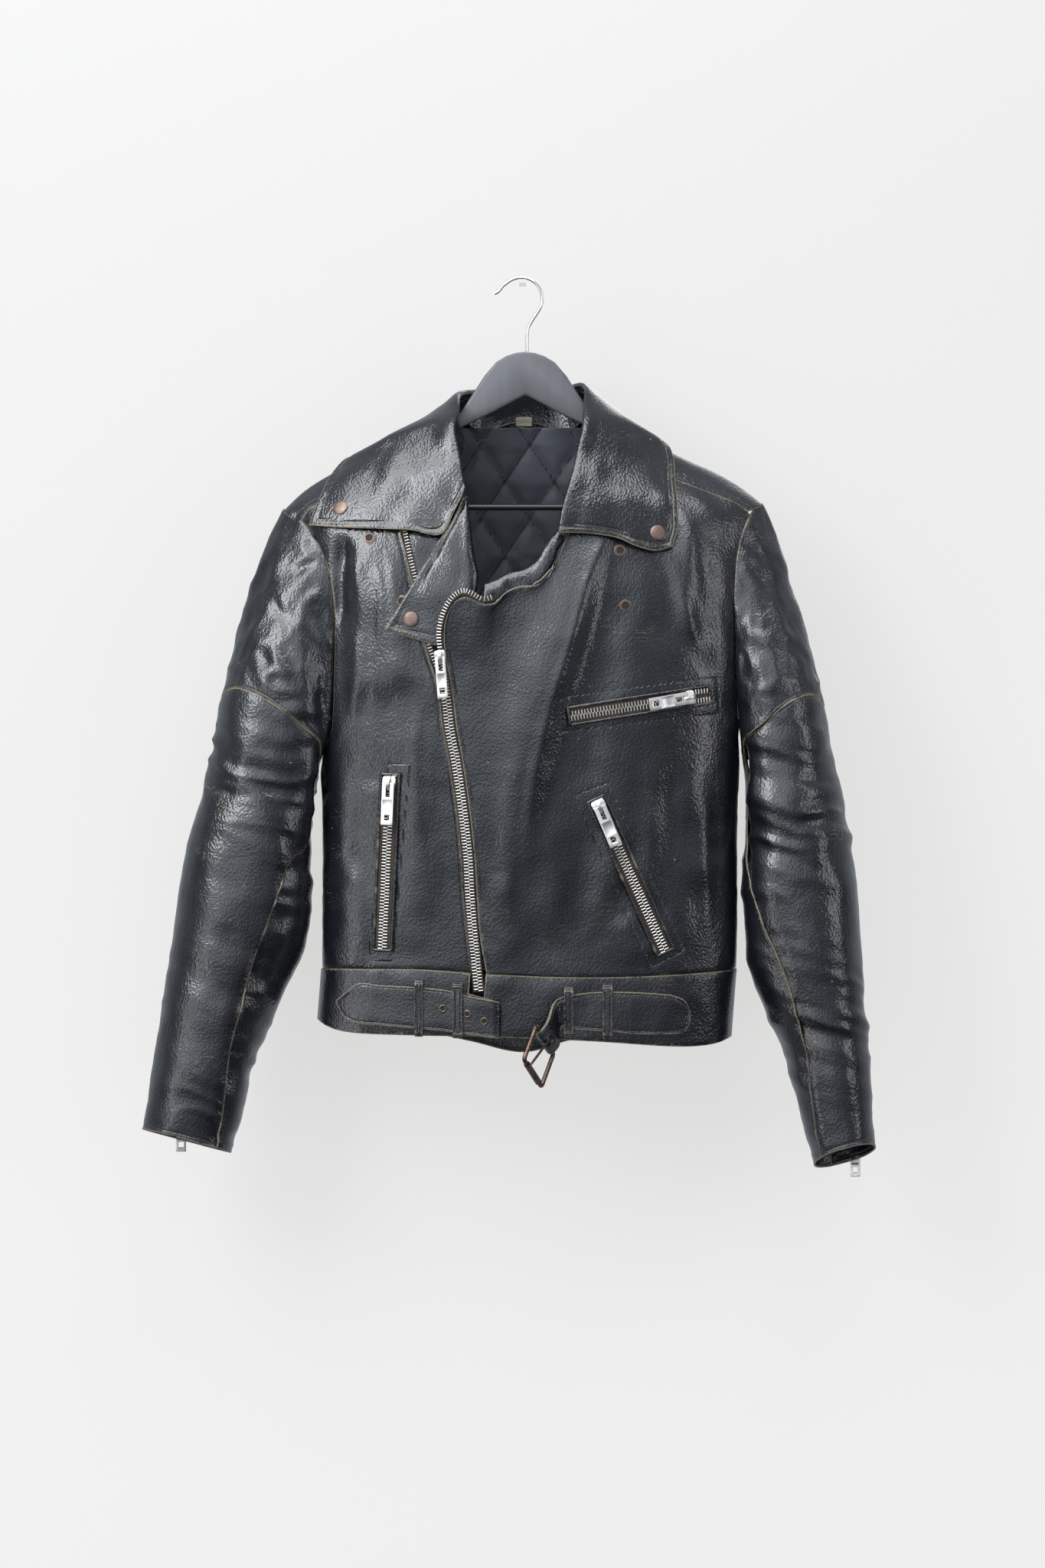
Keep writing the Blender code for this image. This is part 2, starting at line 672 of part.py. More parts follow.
# Outer and inner outline of each sleeve from the armhole to the cuff: x, height
SLEEVES = {
    "right": dict(
        side=-1,
        outer=[(-228.5, -219), (-241, -241), (-255, -282), (-273, -341), (-288, -401),
               (-300, -454), (-312, -507), (-324, -560), (-331, -614), (-340, -667),
               (-347, -720), (-356, -773), (-363, -805)],
        inner=[(-193, -463), (-199, -479), (-199, -520), (-198, -602), (-209, -643),
               (-232, -690), (-247, -732), (-258, -756), (-265, -791), (-276, -828)],
        cuff_tilt=2.0),
    "left": dict(
        side=1,
        outer=[(228, -213.5), (242, -247), (257, -300), (274, -359), (286, -404),
               (295, -454), (307, -501), (316, -560), (320, -620), (325, -679),
               (330, -744), (332, -797), (334, -823)],
        inner=[(205, -463), (207.5, -479), (208, -520), (206.5, -600), (211, -650),
               (227, -690), (242, -726), (254, -767), (265, -809), (274, -839)],
        cuff_tilt=8.0),
}
# share along the sleeve, half depth, middle y, squareness
SLEEVE_RINGS = np.array([
    (0.0, 44, -16, 2.0), (0.15, 56, -20, 2.1), (0.35, 57, -22, 2.2), (0.6, 52, -26, 2.2),
    (0.8, 45, -30, 2.2), (1.0, 38, -32, 2.3)])
# share along the sleeve, then the front and the back long seam in degrees from the
# outer edge
LONG_SEAMS = {
    "right": np.array([(0.0, 168, 128), (0.12, 164, 128), (0.25, 146, 125),
                       (0.35, 118, 120), (0.5, 113, 115), (0.75, 116, 112),
                       (0.9, 126, 112), (1.0, 134, 112)]),
    "left": np.array([(0.0, 168, 128), (0.15, 170, 128), (0.3, 150, 125),
                      (0.45, 128, 120), (0.6, 120, 115), (0.8, 124, 112),
                      (0.9, 132, 112), (1.0, 142, 112)]),
}
CROSS_SEAM_OUTER = {"right": 0.315, "left": 0.325}   # share at the outer edge
CROSS_SEAM_INNER = 0.03


def armhole_point(side, phi):
    """The armhole seam at phi degrees: 0 at the shoulder tip, 180 under the arm."""
    back = phi < 0
    table = ARMHOLE_LEFT if side > 0 else ARMHOLE_RIGHT
    spots = [Vector(((228 if side > 0 else -228.5), ring_at(-216)[4], TIP_HEIGHT[side]))]
    spots += [(on_back if back else on_front)(x, z) for x, z in table]
    spots.append(bare_form(side_angle(side, back), UNDERARM))
    steps = [(b - a).length for a, b in zip(spots, spots[1:])]
    places = np.concatenate([[0], np.cumsum(steps)]) / sum(steps)
    share = abs(phi) / 180
    return Vector([float(np.interp(share, places, [s[k] for s in spots])) for k in range(3)])


def sleeve_point(which, phi, share, out=0.0):
    """A point of a sleeve, phi in degrees from the outer edge, positive on the front."""
    sleeve = SLEEVES[which]
    side = sleeve["side"]

    def ellipse(s):
        outer, inner = along(sleeve["outer"], s), along(sleeve["inner"], s)
        depth, middle, square = [np.interp(s, SLEEVE_RINGS[:, 0], SLEEVE_RINGS[:, k])
                                 for k in (1, 2, 3)]
        c, d = cos(radians(phi)), sin(radians(phi))
        c = np.sign(c) * abs(c) ** (2 / square)
        d = np.sign(d) * abs(d) ** (2 / square)
        flat = (outer + inner) / 2 + (outer - inner) / 2 * c
        tilt = sleeve["cuff_tilt"] * d * max(0.0, (s - 0.85) / 0.15)
        return Vector((flat[0], middle - depth * d, flat[1] + tilt))

    place = ellipse(share)
    settle = max(0.0, 1 - share / 0.3)
    settle = settle * settle * (3 - 2 * settle)
    place = place + (armhole_point(side, phi) - ellipse(0.0)) * settle
    place.x += side * 2.0 * max(0.0, abs(phi) / 70 - 1.57) * max(0.0, 1 - share / 0.25)
    if out:
        outer, inner = along(sleeve["outer"], share), along(sleeve["inner"], share)
        middle = np.interp(share, SLEEVE_RINGS[:, 0], SLEEVE_RINGS[:, 2])
        core = Vector(((outer[0] + inner[0]) / 2, middle, (outer[1] + inner[1]) / 2))
        place = place + (place - core).normalized() * out
    return place


def long_seams(which, share):
    table = LONG_SEAMS[which]
    return (float(np.interp(share, table[:, 0], table[:, 1])),
            -float(np.interp(share, table[:, 0], table[:, 2])))


def cross_seam(which, phi):
    end, bend = (156, 1.2) if phi > 0 else (168, 1.5)
    reach = CROSS_SEAM_OUTER[which] - CROSS_SEAM_INNER
    return CROSS_SEAM_INNER + reach * (1 - min(1.0, abs(phi) / end) ** bend)


ARMHOLE_GAP = 0.7
LONG_SEAM_GAP = 1.0
CROSS_SEAM_GAP = 0.6
CAP_COLUMNS, BACK_COLUMNS, CAP_ROWS = 16, 7, 5
ARM_ROWS, UNDER_COLUMNS = 13, 5


def sleeve(which):
    """Three panels: the cap above the cross seam, the outer arm, and the underarm."""
    front0, back0 = long_seams(which, 0.0)
    phis = [back0 * (1 - k / BACK_COLUMNS) for k in range(BACK_COLUMNS)]
    phis += [front0 * k / (CAP_COLUMNS - BACK_COLUMNS)
             for k in range(CAP_COLUMNS - BACK_COLUMNS + 1)]
    cap = []
    for r in range(CAP_ROWS + 1):
        v = r / CAP_ROWS
        line = []
        for phi in phis:
            start = 0.001 + 0.0045 * (phi / 170) ** 2
            line.append(sleeve_point(which, phi, start + (cross_seam(which, phi) - start) * v))
        cap.append(line)
    core = sleeve_point(which, 90, 0.4).lerp(sleeve_point(which, -90, 0.4), 0.5)
    wall("sleeve_cap_" + which, cap, LEATHER, leather, core,
         gap=(ARMHOLE_GAP, LONG_SEAM_GAP, CROSS_SEAM_GAP, LONG_SEAM_GAP))
    arm = []
    for r in range(ARM_ROWS + 1):
        v = r / ARM_ROWS
        line = []
        for k, phi in enumerate(phis):
            share = cross_seam(which, phi) * (1 - v) + v
            front, back = long_seams(which, share)
            turned = phi * (front / front0 if phi > 0 else back / back0)
            ease = 1.0 if k in (0, CAP_COLUMNS) else min(1.0, v * 4)
            line.append(sleeve_point(which, phi + (turned - phi) * ease, share))
        arm.append(line)
    wall("sleeve_outer_" + which, arm, LEATHER, leather, core,
         gap=(CROSS_SEAM_GAP, LONG_SEAM_GAP, 0.35, LONG_SEAM_GAP))
    under = []
    low = cross_seam(which, 168)
    for share in [0.0055] + [low + (1 - low) * r / ARM_ROWS for r in range(ARM_ROWS + 1)]:
        front, back = long_seams(which, share)
        line = []
        for k in range(UNDER_COLUMNS + 1):
            phi = front + (back + 360 - front) * k / UNDER_COLUMNS
            line.append(sleeve_point(which, phi if phi <= 180 else phi - 360, share))
        under.append(line)
    wall("sleeve_inner_" + which, under, LEATHER, leather, core,
         gap=(ARMHOLE_GAP, LONG_SEAM_GAP, 0.35, LONG_SEAM_GAP))


sleeve("left")
sleeve("right")

# ---------------------------------------------------------------------------
# Collar: the stand round the neck and the fall that rolls over it
# ---------------------------------------------------------------------------

F, B = on_front, on_back
# Stations from the left front round the back of the neck to the right front:
# roll line, outer edge, neckline seam. F and B take x, height and lift off the form.
COLLAR = [
    (F(32.5, -246, 10), F(137, -257, 4.5), F(37, -246, 3.0)),
    (F(35, -225, 13), F(145, -240, 4.5), F(43.5, -224, 2.6)),
    (F(42, -203, 16), F(145, -222, 4.5), F(50, -202, 2.4)),
    (F(48, -178, 18), F(143, -193, 4.5), F(55, -179, 2.0)),
    (F(53, -150, 21), F(141, -172, 5), Vector((59, -25, -152))),
    (Vector((58, -32, -121)), Vector((138, -6, -157)), Vector((62.5, -16, -136))),
    (Vector((57, 2, -98)), B(127, -172, 6), Vector((66.5, 3, -124))),
    (Vector((42, 29, -100)), B(86, -178, 5), B(45, -143, 0)),
    (Vector((0, 39, -103)), B(0, -182, 5), B(0, -135.5, 0)),
    (Vector((-44, 29, -104)), B(-96, -182, 5), B(-45, -143, 0)),
    (Vector((-60, 2, -107)), B(-148, -186, 7), Vector((-66.5, 3, -124))),
    (Vector((-62, -32, -127)), Vector((-170, -6, -171)), Vector((-62.5, -16, -138))),
    (F(-61, -152, 20), F(-180, -188, 5), Vector((-58, -25, -153))),
    (F(-57, -180, 17), F(-188, -206, 7), F(-61.5, -181, 2.8)),
    (F(-54, -206, 12), F(-199, -235, 8.5), F(-58, -206, 5.0)),
]
LEAF_COLUMNS = 6
LEAF_BULGE = 4.0
# Lower edges of the two leaves, a point for each column
LEFT_LEAF_END = [(51, -245, 8), (70, -246.3, 7.3), (88, -249, 6.6), (106, -256, 5.9),
                 (124, -260, 5.2), (140, -256, 4.5)]
RIGHT_LEAF_END = [(-65, -225.5, 8.4), (-76, -245, 6.8), (-106, -241.4, 7.4),
                  (-137, -240, 7.9), (-168, -238.4, 8.3), (-199, -235, 8.5)]


def smooth_rows(rows, steps=2):
    """More rows between the given ones, on a smooth curve through them."""
    made = []
    for k in range(len(rows) - 1):
        before, after = rows[max(k - 1, 0)], rows[min(k + 2, len(rows) - 1)]
        for j in range(steps):
            t = j / steps
            made.append([((b * 2) + (c - a) * t + (a * 2 - b * 5 + c * 4 - d) * t * t
                          + (b * 3 - a - c * 3 + d) * t ** 3) / 2
                         for a, b, c, d in zip(before, rows[k], rows[k + 1], after)])
    return made + [rows[-1]]


def collar_rows():
    """At each station: the fall's points from under the roll to its edge, the stand's."""
    fall, stand = [], []
    for k, (roll, edge, seam) in enumerate(COLLAR):
        tangent = (COLLAR[min(k + 1, 14)][0] - COLLAR[max(k - 1, 0)][0]).normalized()
        flow = (edge - roll).normalized()
        out = flow.cross(tangent).normalized()
        line = [roll - out * 5.6 + flow * 5.5, roll - out * 4.6 + flow * 0.8,
                roll - out * 1.4 - flow * 0.2]
        for j in range(1, LEAF_COLUMNS + 1):
            v = j / LEAF_COLUMNS
            if k in (0, len(COLLAR) - 1):
                line.append(on_front(*(LEFT_LEAF_END if k == 0 else RIGHT_LEAF_END)[j - 1]))
            elif roll.y < -34:
                start, end = (COLLAR_FLAT[k][i] for i in (0, 1))
                line.append(on_front(*(np.array(start) * (1 - v) + np.array(end) * v)))
            else:
                line.append(roll.lerp(edge, v) + out * LEAF_BULGE * 4 * v * (1 - v))
        fall.append(line)
        foot = roll - out * 5.6 + flow * 6.4
        stand.append([foot, foot.lerp(seam, 0.5), seam])
    return smooth_rows(fall), smooth_rows(stand)


# The front stations again as x, height and lift, so that the leaves lie on the form
COLLAR_FLAT = {
    1: ((35, -225, 13), (145, -240, 4.5)), 2: ((42, -203, 16), (145, -222, 4.5)),
    3: ((48, -178, 18), (143, -193, 4.5)), 4: ((53, -150, 21), (141, -172, 5)),
    12: ((-61, -152, 20), (-180, -188, 5)), 13: ((-57, -180, 17), (-188, -206, 7))}
fall_rows, stand_rows = collar_rows()
collar_fall = wall("collar_fall", fall_rows, COLLAR_LEATHER, leather, side=-1)
wall("collar_stand", stand_rows, LEATHER, leather, side=1)

# ---------------------------------------------------------------------------
# Lapel of the wearer's right front, folded out, and the left front's facing
# ---------------------------------------------------------------------------

# Rows from the bottom: under layer's edge, fold, outer edge of the turned-out layer
LAPEL_ROWS = [
    ((-84, -346), (-60, -338), (-130, -334)), ((-93, -330), (-51, -318), (-119, -316)),
    ((-98, -312), (-45, -300), (-108, -298)), ((-102, -294), (-43, -284), (-98, -281)),
    ((-107, -270), (-47, -262), (-87, -264)), ((-111, -250), (-50, -240), (-78, -249)),
    ((-112, -232), (-52, -222), (-68, -233)), ((-107, -214), (-53, -209), (-58.5, -214))]
LAPEL_END = [(-60, -338), (-81, -349), (-130, -334)]
LAPEL_UNDER, LAPEL_OVER = -4.4, 4.8      # lift of the two layers' outer skins


def lapel_grid():
    grid = []
    for r, (under, fold, outer) in enumerate(LAPEL_ROWS):
        under, fold, outer = (np.array(p, float) for p in (under, fold, outer))
        line = []
        for v in (0, 0.45, 0.9):
            line.append(on_front(*(under + (fold - under) * v), LAPEL_UNDER))
        line.append(on_front(*(fold + (0.2, 0)), -1.6))
        line.append(on_front(*(fold + (0.2, 0)), 2.2))
        for v in (0.08, 0.3, 0.55, 0.8, 1.0):
            spot = along(LAPEL_END, v) if r == 0 else fold + (outer - fold) * v
            line.append(on_front(*spot, LAPEL_OVER))
        grid.append(line)
    return grid


lapel = wall("lapel_right", lapel_grid(), LEATHER, leather, side=1)

# The strip seen behind the left front's open top edge: x, height at the edge, x and
# height of its upper border, lift of the front there
FACING = [(-37, -306, -37, -291, 11.5), (-29, -306, -30, -288, 10.3), (-21, -299, -22, -284, 9),
          (-11, -292.5, -13, -279, 6.8), (3, -291.5, 0, -276, 5), (16, -281, 11, -268, 3.5),
          (26, -266, 19, -255, 2.5), (31.5, -251, 26.5, -243, 1.2), (37, -243, 35, -233, 1.2)]
facing_grid = []
for x, z, top_x, top_z, lift in FACING:
    facing_grid.append([on_front(x + 2, z - 6, lift - 4.0), on_front(x, z, lift - 3.2),
                        on_front((x + top_x) / 2, (z + top_z) / 2, lift - 3.6),
                        on_front(top_x, top_z, lift - 6.5)])
wall("facing_left", facing_grid, 1.2, leather, INSIDE)

# ---------------------------------------------------------------------------
# Neck label on its leather tab, inside the stand
# ---------------------------------------------------------------------------

stand_tree = outer_tree(bpy.data.objects["collar_stand"])
tab_grid = []
for v, half in ((0.0, 16.5), (0.45, 16.5), (0.8, 12.5), (1.0, 5.0)):
    line = []
    for u in (-1, -0.5, 0, 0.5, 1):
        x, z = 2.5 + half * u, -137.0 + 9.5 * v
        hit, _, _, _ = stand_tree.ray_cast(Vector((x, 0, z)), Vector((0, 1, 0)))
        raised = 0.5 if abs(u) < 0.6 and v < 0.7 else 0.0
        line.append((hit if hit else Vector((x, 29, z))) + Vector((0, -2.6 - raised, 0)))
    tab_grid.append(line)
wall("neck_tab", tab_grid, 1.2, label_cloth, (0, 200, -130))

# ---------------------------------------------------------------------------
# Belt straps, loops, eyelets
# ---------------------------------------------------------------------------

# Wearer's right strap from its sewn point to the fold: x, top, bottom, lift
RIGHT_STRAP = [(-177.5, -683.5, -686.5, 0.7), (-166, -674, -703, 0.7), (-158, -668, -705, 0.7),
               (-135, -669, -707, 0.7), (-112, -670, -709, 0.7), (-90, -671.5, -711, 0.7),
               (-70, -674, -713, 0.9), (-56, -678, -715, 3.2), (-45, -680.5, -716.5, 5.4),
               (-34, -682.5, -718, 6.2), (-25.5, -684, -719, 6.0)]
STRAP_LINES = 4


def strap_point(x, z, lift):
    """A point over the waistband, below whose hem the strap hangs straight down."""
    return Vector((x, on_front(x, max(z, -712.0), BAND_RAISE).y - lift, z))


def right_strap_grid():
    grid = []
    for x, top, bottom, lift in RIGHT_STRAP:
        grid.append([strap_point(x, top + (bottom - top) * k / STRAP_LINES, lift + STRAP_LEATHER)
                     for k in range(STRAP_LINES + 1)])
    for x, lift in ((-21.5, 6.4), (-21.5, 3.0), (-26, 0.9), (-40, 0.8), (-53, 0.8)):
        top, bottom = -685 + (x + 21.5) * -0.28, -719 + (x + 21.5) * -0.1
        grid.append([strap_point(x, top + (bottom - top) * k / STRAP_LINES, lift)
                     for k in range(STRAP_LINES + 1)])
    return grid


strap_right = wall("belt_strap_right", right_strap_grid(), STRAP_LEATHER, leather, side=-1)

# The buckle's bar, from its upper to its lower end, and the frame's hanging direction
BAR_TOP = Vector((12, -99, -707))
BAR_BOTTOM = Vector((28.5, -69, -733.5))
BAR = (BAR_BOTTOM - BAR_TOP).normalized()
BAR_CENTRE = (BAR_TOP + BAR_BOTTOM) / 2
HANG = (Vector((0, 0, -1)) + BAR * BAR.z).normalized()
BUCKLE_DEPTH = 39.0
BUCKLE_WIRE = 2.0
STRAP_TURN = BUCKLE_WIRE + 0.6 + STRAP_LEATHER       # outer radius of the strap's turn

# Wearer's left strap from its round sewn end to the turn: x, top, bottom
LEFT_STRAP = [(158, -694, -704), (153, -684, -713), (143, -679, -715), (128, -677, -715.5),
              (105, -675.5, -715), (84, -675, -713), (60, -676, -711.5), (46, -678, -710.5),
              (37, -679.5, -710)]
STRAP_ACROSS = (-1, -0.62, -0.26, 0.26, 0.62, 1)
TURN_HALF_WIDTH = 16.5


def left_strap_grid():
    grid = []
    for x, top, bottom in LEFT_STRAP:
        middle, half = (top + bottom) / 2, (top - bottom) / 2
        grid.append([strap_point(x, middle - half * w, 0.8 + STRAP_LEATHER)
                     for w in STRAP_ACROSS])
    flow = BAR_CENTRE - Vector((37, grid[-1][2].y, -695))
    flow = (flow - BAR * flow.dot(BAR)).normalized()
    face = BAR.cross(flow).normalized()
    face = -face if face.y > 0 else face
    rows = [face * STRAP_TURN - flow * 6.5]
    rows += [(face * cos(t) + flow * sin(t)) * STRAP_TURN for t in (0, pi / 4, pi / 2,
                                                                   3 * pi / 4, pi)]
    rows.append(-face * STRAP_TURN - flow * 4.0)
    for place in rows:
        grid.append([BAR_CENTRE + place + BAR * w * TURN_HALF_WIDTH for w in STRAP_ACROSS])
    first = len(LEFT_STRAP)
    slot = {(r, 2) for r in range(first, first + 6)}
    return grid, slot


strap_grid, prong_slot = left_strap_grid()
strap_left = wall("belt_strap_left", strap_grid, STRAP_LEATHER, leather, side=1,
                  skip=prong_slot)


def belt_loop(name, strap, left, right, top, bottom):
    """A keeper over the strap: both its ends come down to the waistband."""
    strap_tree = outer_tree(strap)
    grid = []
    third = (top - bottom) / 3
    for z, on_band in ((top, True), (top - 1.7, True), (top - 3.4, False),
                       (top - third, False), (bottom + third, False), (bottom + 3.4, False),
                       (bottom + 1.7, True), (bottom, True)):
        line = []
        for u in (0, 0.5, 1):
            x = left + (right - left) * u
            inner = min(max(z, bottom + 13), top - 13)
            strap_hit, _ = lay(strap_tree, x, inner, 0)
            if on_band:
                point = strap_point(x, z, 0.6 + LEATHER)
            else:
                point = Vector((x, strap_hit.y - 0.7 - LEATHER, z))
            line.append(point)
        grid.append(line)
    return wall(name, grid, LEATHER, leather, INSIDE, gap=0)


belt_loop("belt_loop_1", strap_right, -102.5, -95.0, -663.5, -717.5)
belt_loop("belt_loop_2", strap_right, -66.5, -57.5, -666.5, -719.0)
belt_loop("belt_loop_3", strap_left, 38.5, 47.0, -670.5, -718.0)
belt_loop("belt_loop_4", strap_left, 75.0, 84.0, -667.5, -719.5)


def ring_profile(inner, outer, height):
    return [(inner, 0.3), (outer, 0.3), (outer - 0.2, height), (inner + 0.2, height)]


strap_tree = outer_tree(strap_right)
for k, (x, z) in enumerate([(-76, -691), (-53, -696), (-37, -703)]):
    spot, normal = lay(strap_tree, x, z, 0)
    lathe("belt_eyelet_%d" % (k + 1), ring_profile(2.0, EYELET_RADIUS, 1.1), spot, normal,
          eyelet_metal, 10)

# ---------------------------------------------------------------------------
# Buckle: a frame that turns on its bar in the strap's fold, and the prong
# ---------------------------------------------------------------------------

def rounded(corners, radius, steps=3):
    """A closed path through four corners, each rounded."""
    path = []
    for k, corner in enumerate(corners):
        before = (corners[k - 1] - corner).normalized()
        after = (corners[(k + 1) % 4] - corner).normalized()
        centre = corner + (before + after) * radius
        for j in range(steps + 1):
            t = pi / 2 * j / steps
            path.append(centre - after * radius * cos(t) - before * radius * sin(t))
    return path


frame_corners = [BAR_TOP, BAR_TOP + HANG * BUCKLE_DEPTH, BAR_BOTTOM + HANG * BUCKLE_DEPTH,
                 BAR_BOTTOM]
wire("buckle_frame", rounded(frame_corners, 3.0), BUCKLE_WIRE, buckle_metal, 8, closed=True,
     origin=BAR_CENTRE)

PRONG_WIRE, PRONG_EYE = 1.2, BUCKLE_WIRE + 0.45 + 1.2
PRONG_SKEW = radians(20)
prong_face = BAR.cross(HANG).normalized()
prong_face = -prong_face if prong_face.y > 0 else prong_face
prong_root = BAR_CENTRE + BAR * 1.0
prong_way = HANG * cos(PRONG_SKEW) - BAR * sin(PRONG_SKEW)
prong_path = [prong_root + (prong_face * cos(radians(t)) - HANG * sin(radians(t))) * PRONG_EYE
              for t in range(300, -1, -30)]
prong_path += [prong_path[-1] + prong_way * s for s in (6, 20, 36, 44)]
wire("buckle_prong", prong_path, PRONG_WIRE, buckle_metal, 6, origin=BAR_CENTRE)

# ---------------------------------------------------------------------------
# Zips
# ---------------------------------------------------------------------------

def main_tape(name, path, side):
    grid = []
    for k, (_, _, lift) in enumerate(path):
        grid.append([on_front(*beside(path, k, side * reach), lift)
                     for reach in (0.4, 2.6, ZIP_TAPE)])
    return wall(name, grid, 1.3, zip_cloth, INSIDE, gap=0)


main_left = main_tape("main_zip_left", ZIP_LEFT, 1)
main_right = main_tape("main_zip_right", ZIP_RIGHT, -1)

SLIDER_LENGTH, SLIDER_HEIGHT = 6.5, 3.0       # half length, height over the tape
PULL_AXIS = 4.3                               # height of the pull's axis over the tape


def slider(name, seat, frame, half):
    """A slider's body with the bridge that carries its pull."""
    filled = [(i, j, 0) for i in range(5) for j in range(3)]
    filled += [(1, 1, 1), (3, 1, 1), (1, 1, 2), (2, 1, 2), (3, 1, 2)]
    lines = [(-SLIDER_LENGTH, -2.9, -1.35, 1.35, 2.9, SLIDER_LENGTH),
             (-half, -1.5, 1.5, half), (0, SLIDER_HEIGHT, 5.6, 6.7)]
    return blocks(name, lines, filled, (seat, frame), zip_metal)


def pull(name, seat, frame, length, width):
    """A pull tab with its slot over the bridge and a window near its free end."""
    rows = (-0.7, 0.7, 6.5, length * 0.6, length * 0.85, length)
    half = width / 2
    filled = [(i, j, 0) for i in range(5) for j in range(3) if (i, j) not in ((1, 1), (3, 1))]
    low = PULL_AXIS - PULL_THICKNESS / 2
    lines = [rows, (-half, -2.9, 2.9, half), (low, low + PULL_THICKNESS)]
    return blocks(name, lines, filled, (seat, frame), zip_metal, seat + frame[2] * PULL_AXIS)


def slider_and_pull(name, seat, normal, down, length, width, hang=None):
    """Both pieces at a seat on the tape; the pull points along hang, or else down."""
    out = normal.normalized()
    down = (Vector(down) - out * Vector(down).dot(out)).normalized()
    across = out.cross(down)
    slider(name + "_slider", seat + out * 0.35, (down, across, out), width * 0.53)
    if hang is not None:
        axis_point = seat + out * (0.35 + PULL_AXIS)
        down = (Vector(hang) - across * Vector(hang).dot(across)).normalized()
        out = down.cross(across)
        seat = axis_point - out * (0.35 + PULL_AXIS)
    pull(name + "_pull", seat + out * 0.35, (down, across, out), length, width)


TAPE_THICKNESS = 1.0
PLUMB = (0, 0, -1)                            # a free pull hangs straight down


def panel_zip(name, panel, start, end, half, rows, back=False):
    """A zip's tape laid on a finished panel from its slider's end to its other end."""
    tree = outer_tree(panel)
    start, end = Vector(start), Vector(end)
    across = Vector((end - start).orthogonal()).normalized()
    grid = []
    for k in range(rows + 1):
        middle = start.lerp(end, k / rows)
        line = []
        for reach in (-half, -half / 2, 0, half / 2, half):
            x, z = middle + across * reach
            point, _ = lay(tree, x, z, 0, back)
            line.append(point + Vector((0, (ON_PANEL + TAPE_THICKNESS) * (1 if back else -1), 0)))
        grid.append(line)
    inside = (start.x * 0.9, -500 if back else 500, (start.y + end.y) / 2)
    return wall(name, grid, TAPE_THICKNESS, zip_cloth, inside, gap=0)


def fit_slider(name, tape, place, way, length, width, back=False, hang=None):
    """Seat a slider on a tape at (x, z), clear of the tape's bend under it."""
    tree = outer_tree(tape)
    seat, normal = lay(tree, *place, 0, back)
    if normal.y * (1 if back else -1) < 0:
        normal = -normal
    slider_and_pull(name, seat + normal * 0.25, normal, way, length, width, hang)


chest = panel_zip("chest_zip", front_left, (176, -394.5), (43, -415.5), 8.2, 8)
fit_slider("chest_zip", chest, (155, -397.8), (-133, 0, -21), 40, 12.0)
pocket_right = panel_zip("pocket_zip_right", front_right, (-125.5, -470), (-133, -636), 8.6, 9)
fit_slider("pocket_zip_right", pocket_right, (-125.9, -478.5), (-7.5, 0, -166), 39, 12.0,
           hang=PLUMB)
pocket_left = panel_zip("pocket_zip_left", front_left, (68.5, -493), (134, -638), 8.5, 8)
fit_slider("pocket_zip_left", pocket_left, (71.5, -500.5), (62, 0, -145), 40, 12.0,
           hang=PLUMB)
fit_slider("main_zip", main_left, (-78.0, -359.5), (3, 0, -40), 38, 9.8, hang=PLUMB)

for which, start, end, seat, length in (
        ("right", (-326, -806), (-309, -715), (-325, -801), 27),
        ("left", (314, -828), (308, -735), (313.7, -823), 29)):
    sleeve_back = bpy.data.objects["sleeve_outer_" + which]
    tape = panel_zip("cuff_zip_" + which, sleeve_back, start, end, 6.0, 5, back=True)
    fit_slider("cuff_zip_" + which, tape, seat, (0, 0, -1), length, 9.6, back=True,
               hang=PLUMB)

# ---------------------------------------------------------------------------
# Snaps: caps on the collar's and lapel's points, sockets on the fronts
# ---------------------------------------------------------------------------

SNAP_CAP = [(0, 0.3), (SNAP_CAP_RADIUS, 0.3), (SNAP_CAP_RADIUS, 0.9),
            (SNAP_CAP_RADIUS * 0.86, 1.7), (0, 2.1)]
for name, carrier, x, z in (("snap_cap_collar_left", collar_fall, 127, -242),
                            ("snap_cap_collar_right", collar_fall, -173, -218),
                            ("snap_cap_lapel", lapel, -106, -324)):
    spot, normal = lay(outer_tree(carrier), x, z, 0)
    lathe(name, SNAP_CAP, spot, normal if normal.y < 0 else -normal, snap_copper, 14)
for name, panel, x, z in (("snap_socket_left_upper", front_left, 91, -259),
                          ("snap_socket_left_lower", front_left, 96, -311),
                          ("snap_socket_right_upper", front_right, -145, -247),
                          ("snap_socket_right_lower", front_right, -114, -307)):
    spot, normal = lay(outer_tree(panel), x, z, 0.2)
    lathe(name, ring_profile(1.8, SOCKET_RADIUS, 1.5), spot, normal, snap_copper, 10)

# ---------------------------------------------------------------------------
# Hanger
# ---------------------------------------------------------------------------

# Right half of the outline from the crown of the hump to the tip and back under the
# arm: distance from the middle line, height
HANGER_HALF = [(0, -69), (9, -70), (18, -73), (28, -79), (39, -92), (47, -104.5), (54, -115),
               (61, -126), (75, -134.6), (100, -148.4), (135, -167.7), (180, -188.5), (202, -202.3),
               (206, -212), (204, -225), (189, -225), (189, -212), (180, -208), (135, -182),
               (100, -162), (51, -136), (32, -127), (0, -110)]
HANGER_MIDDLE = 2.0


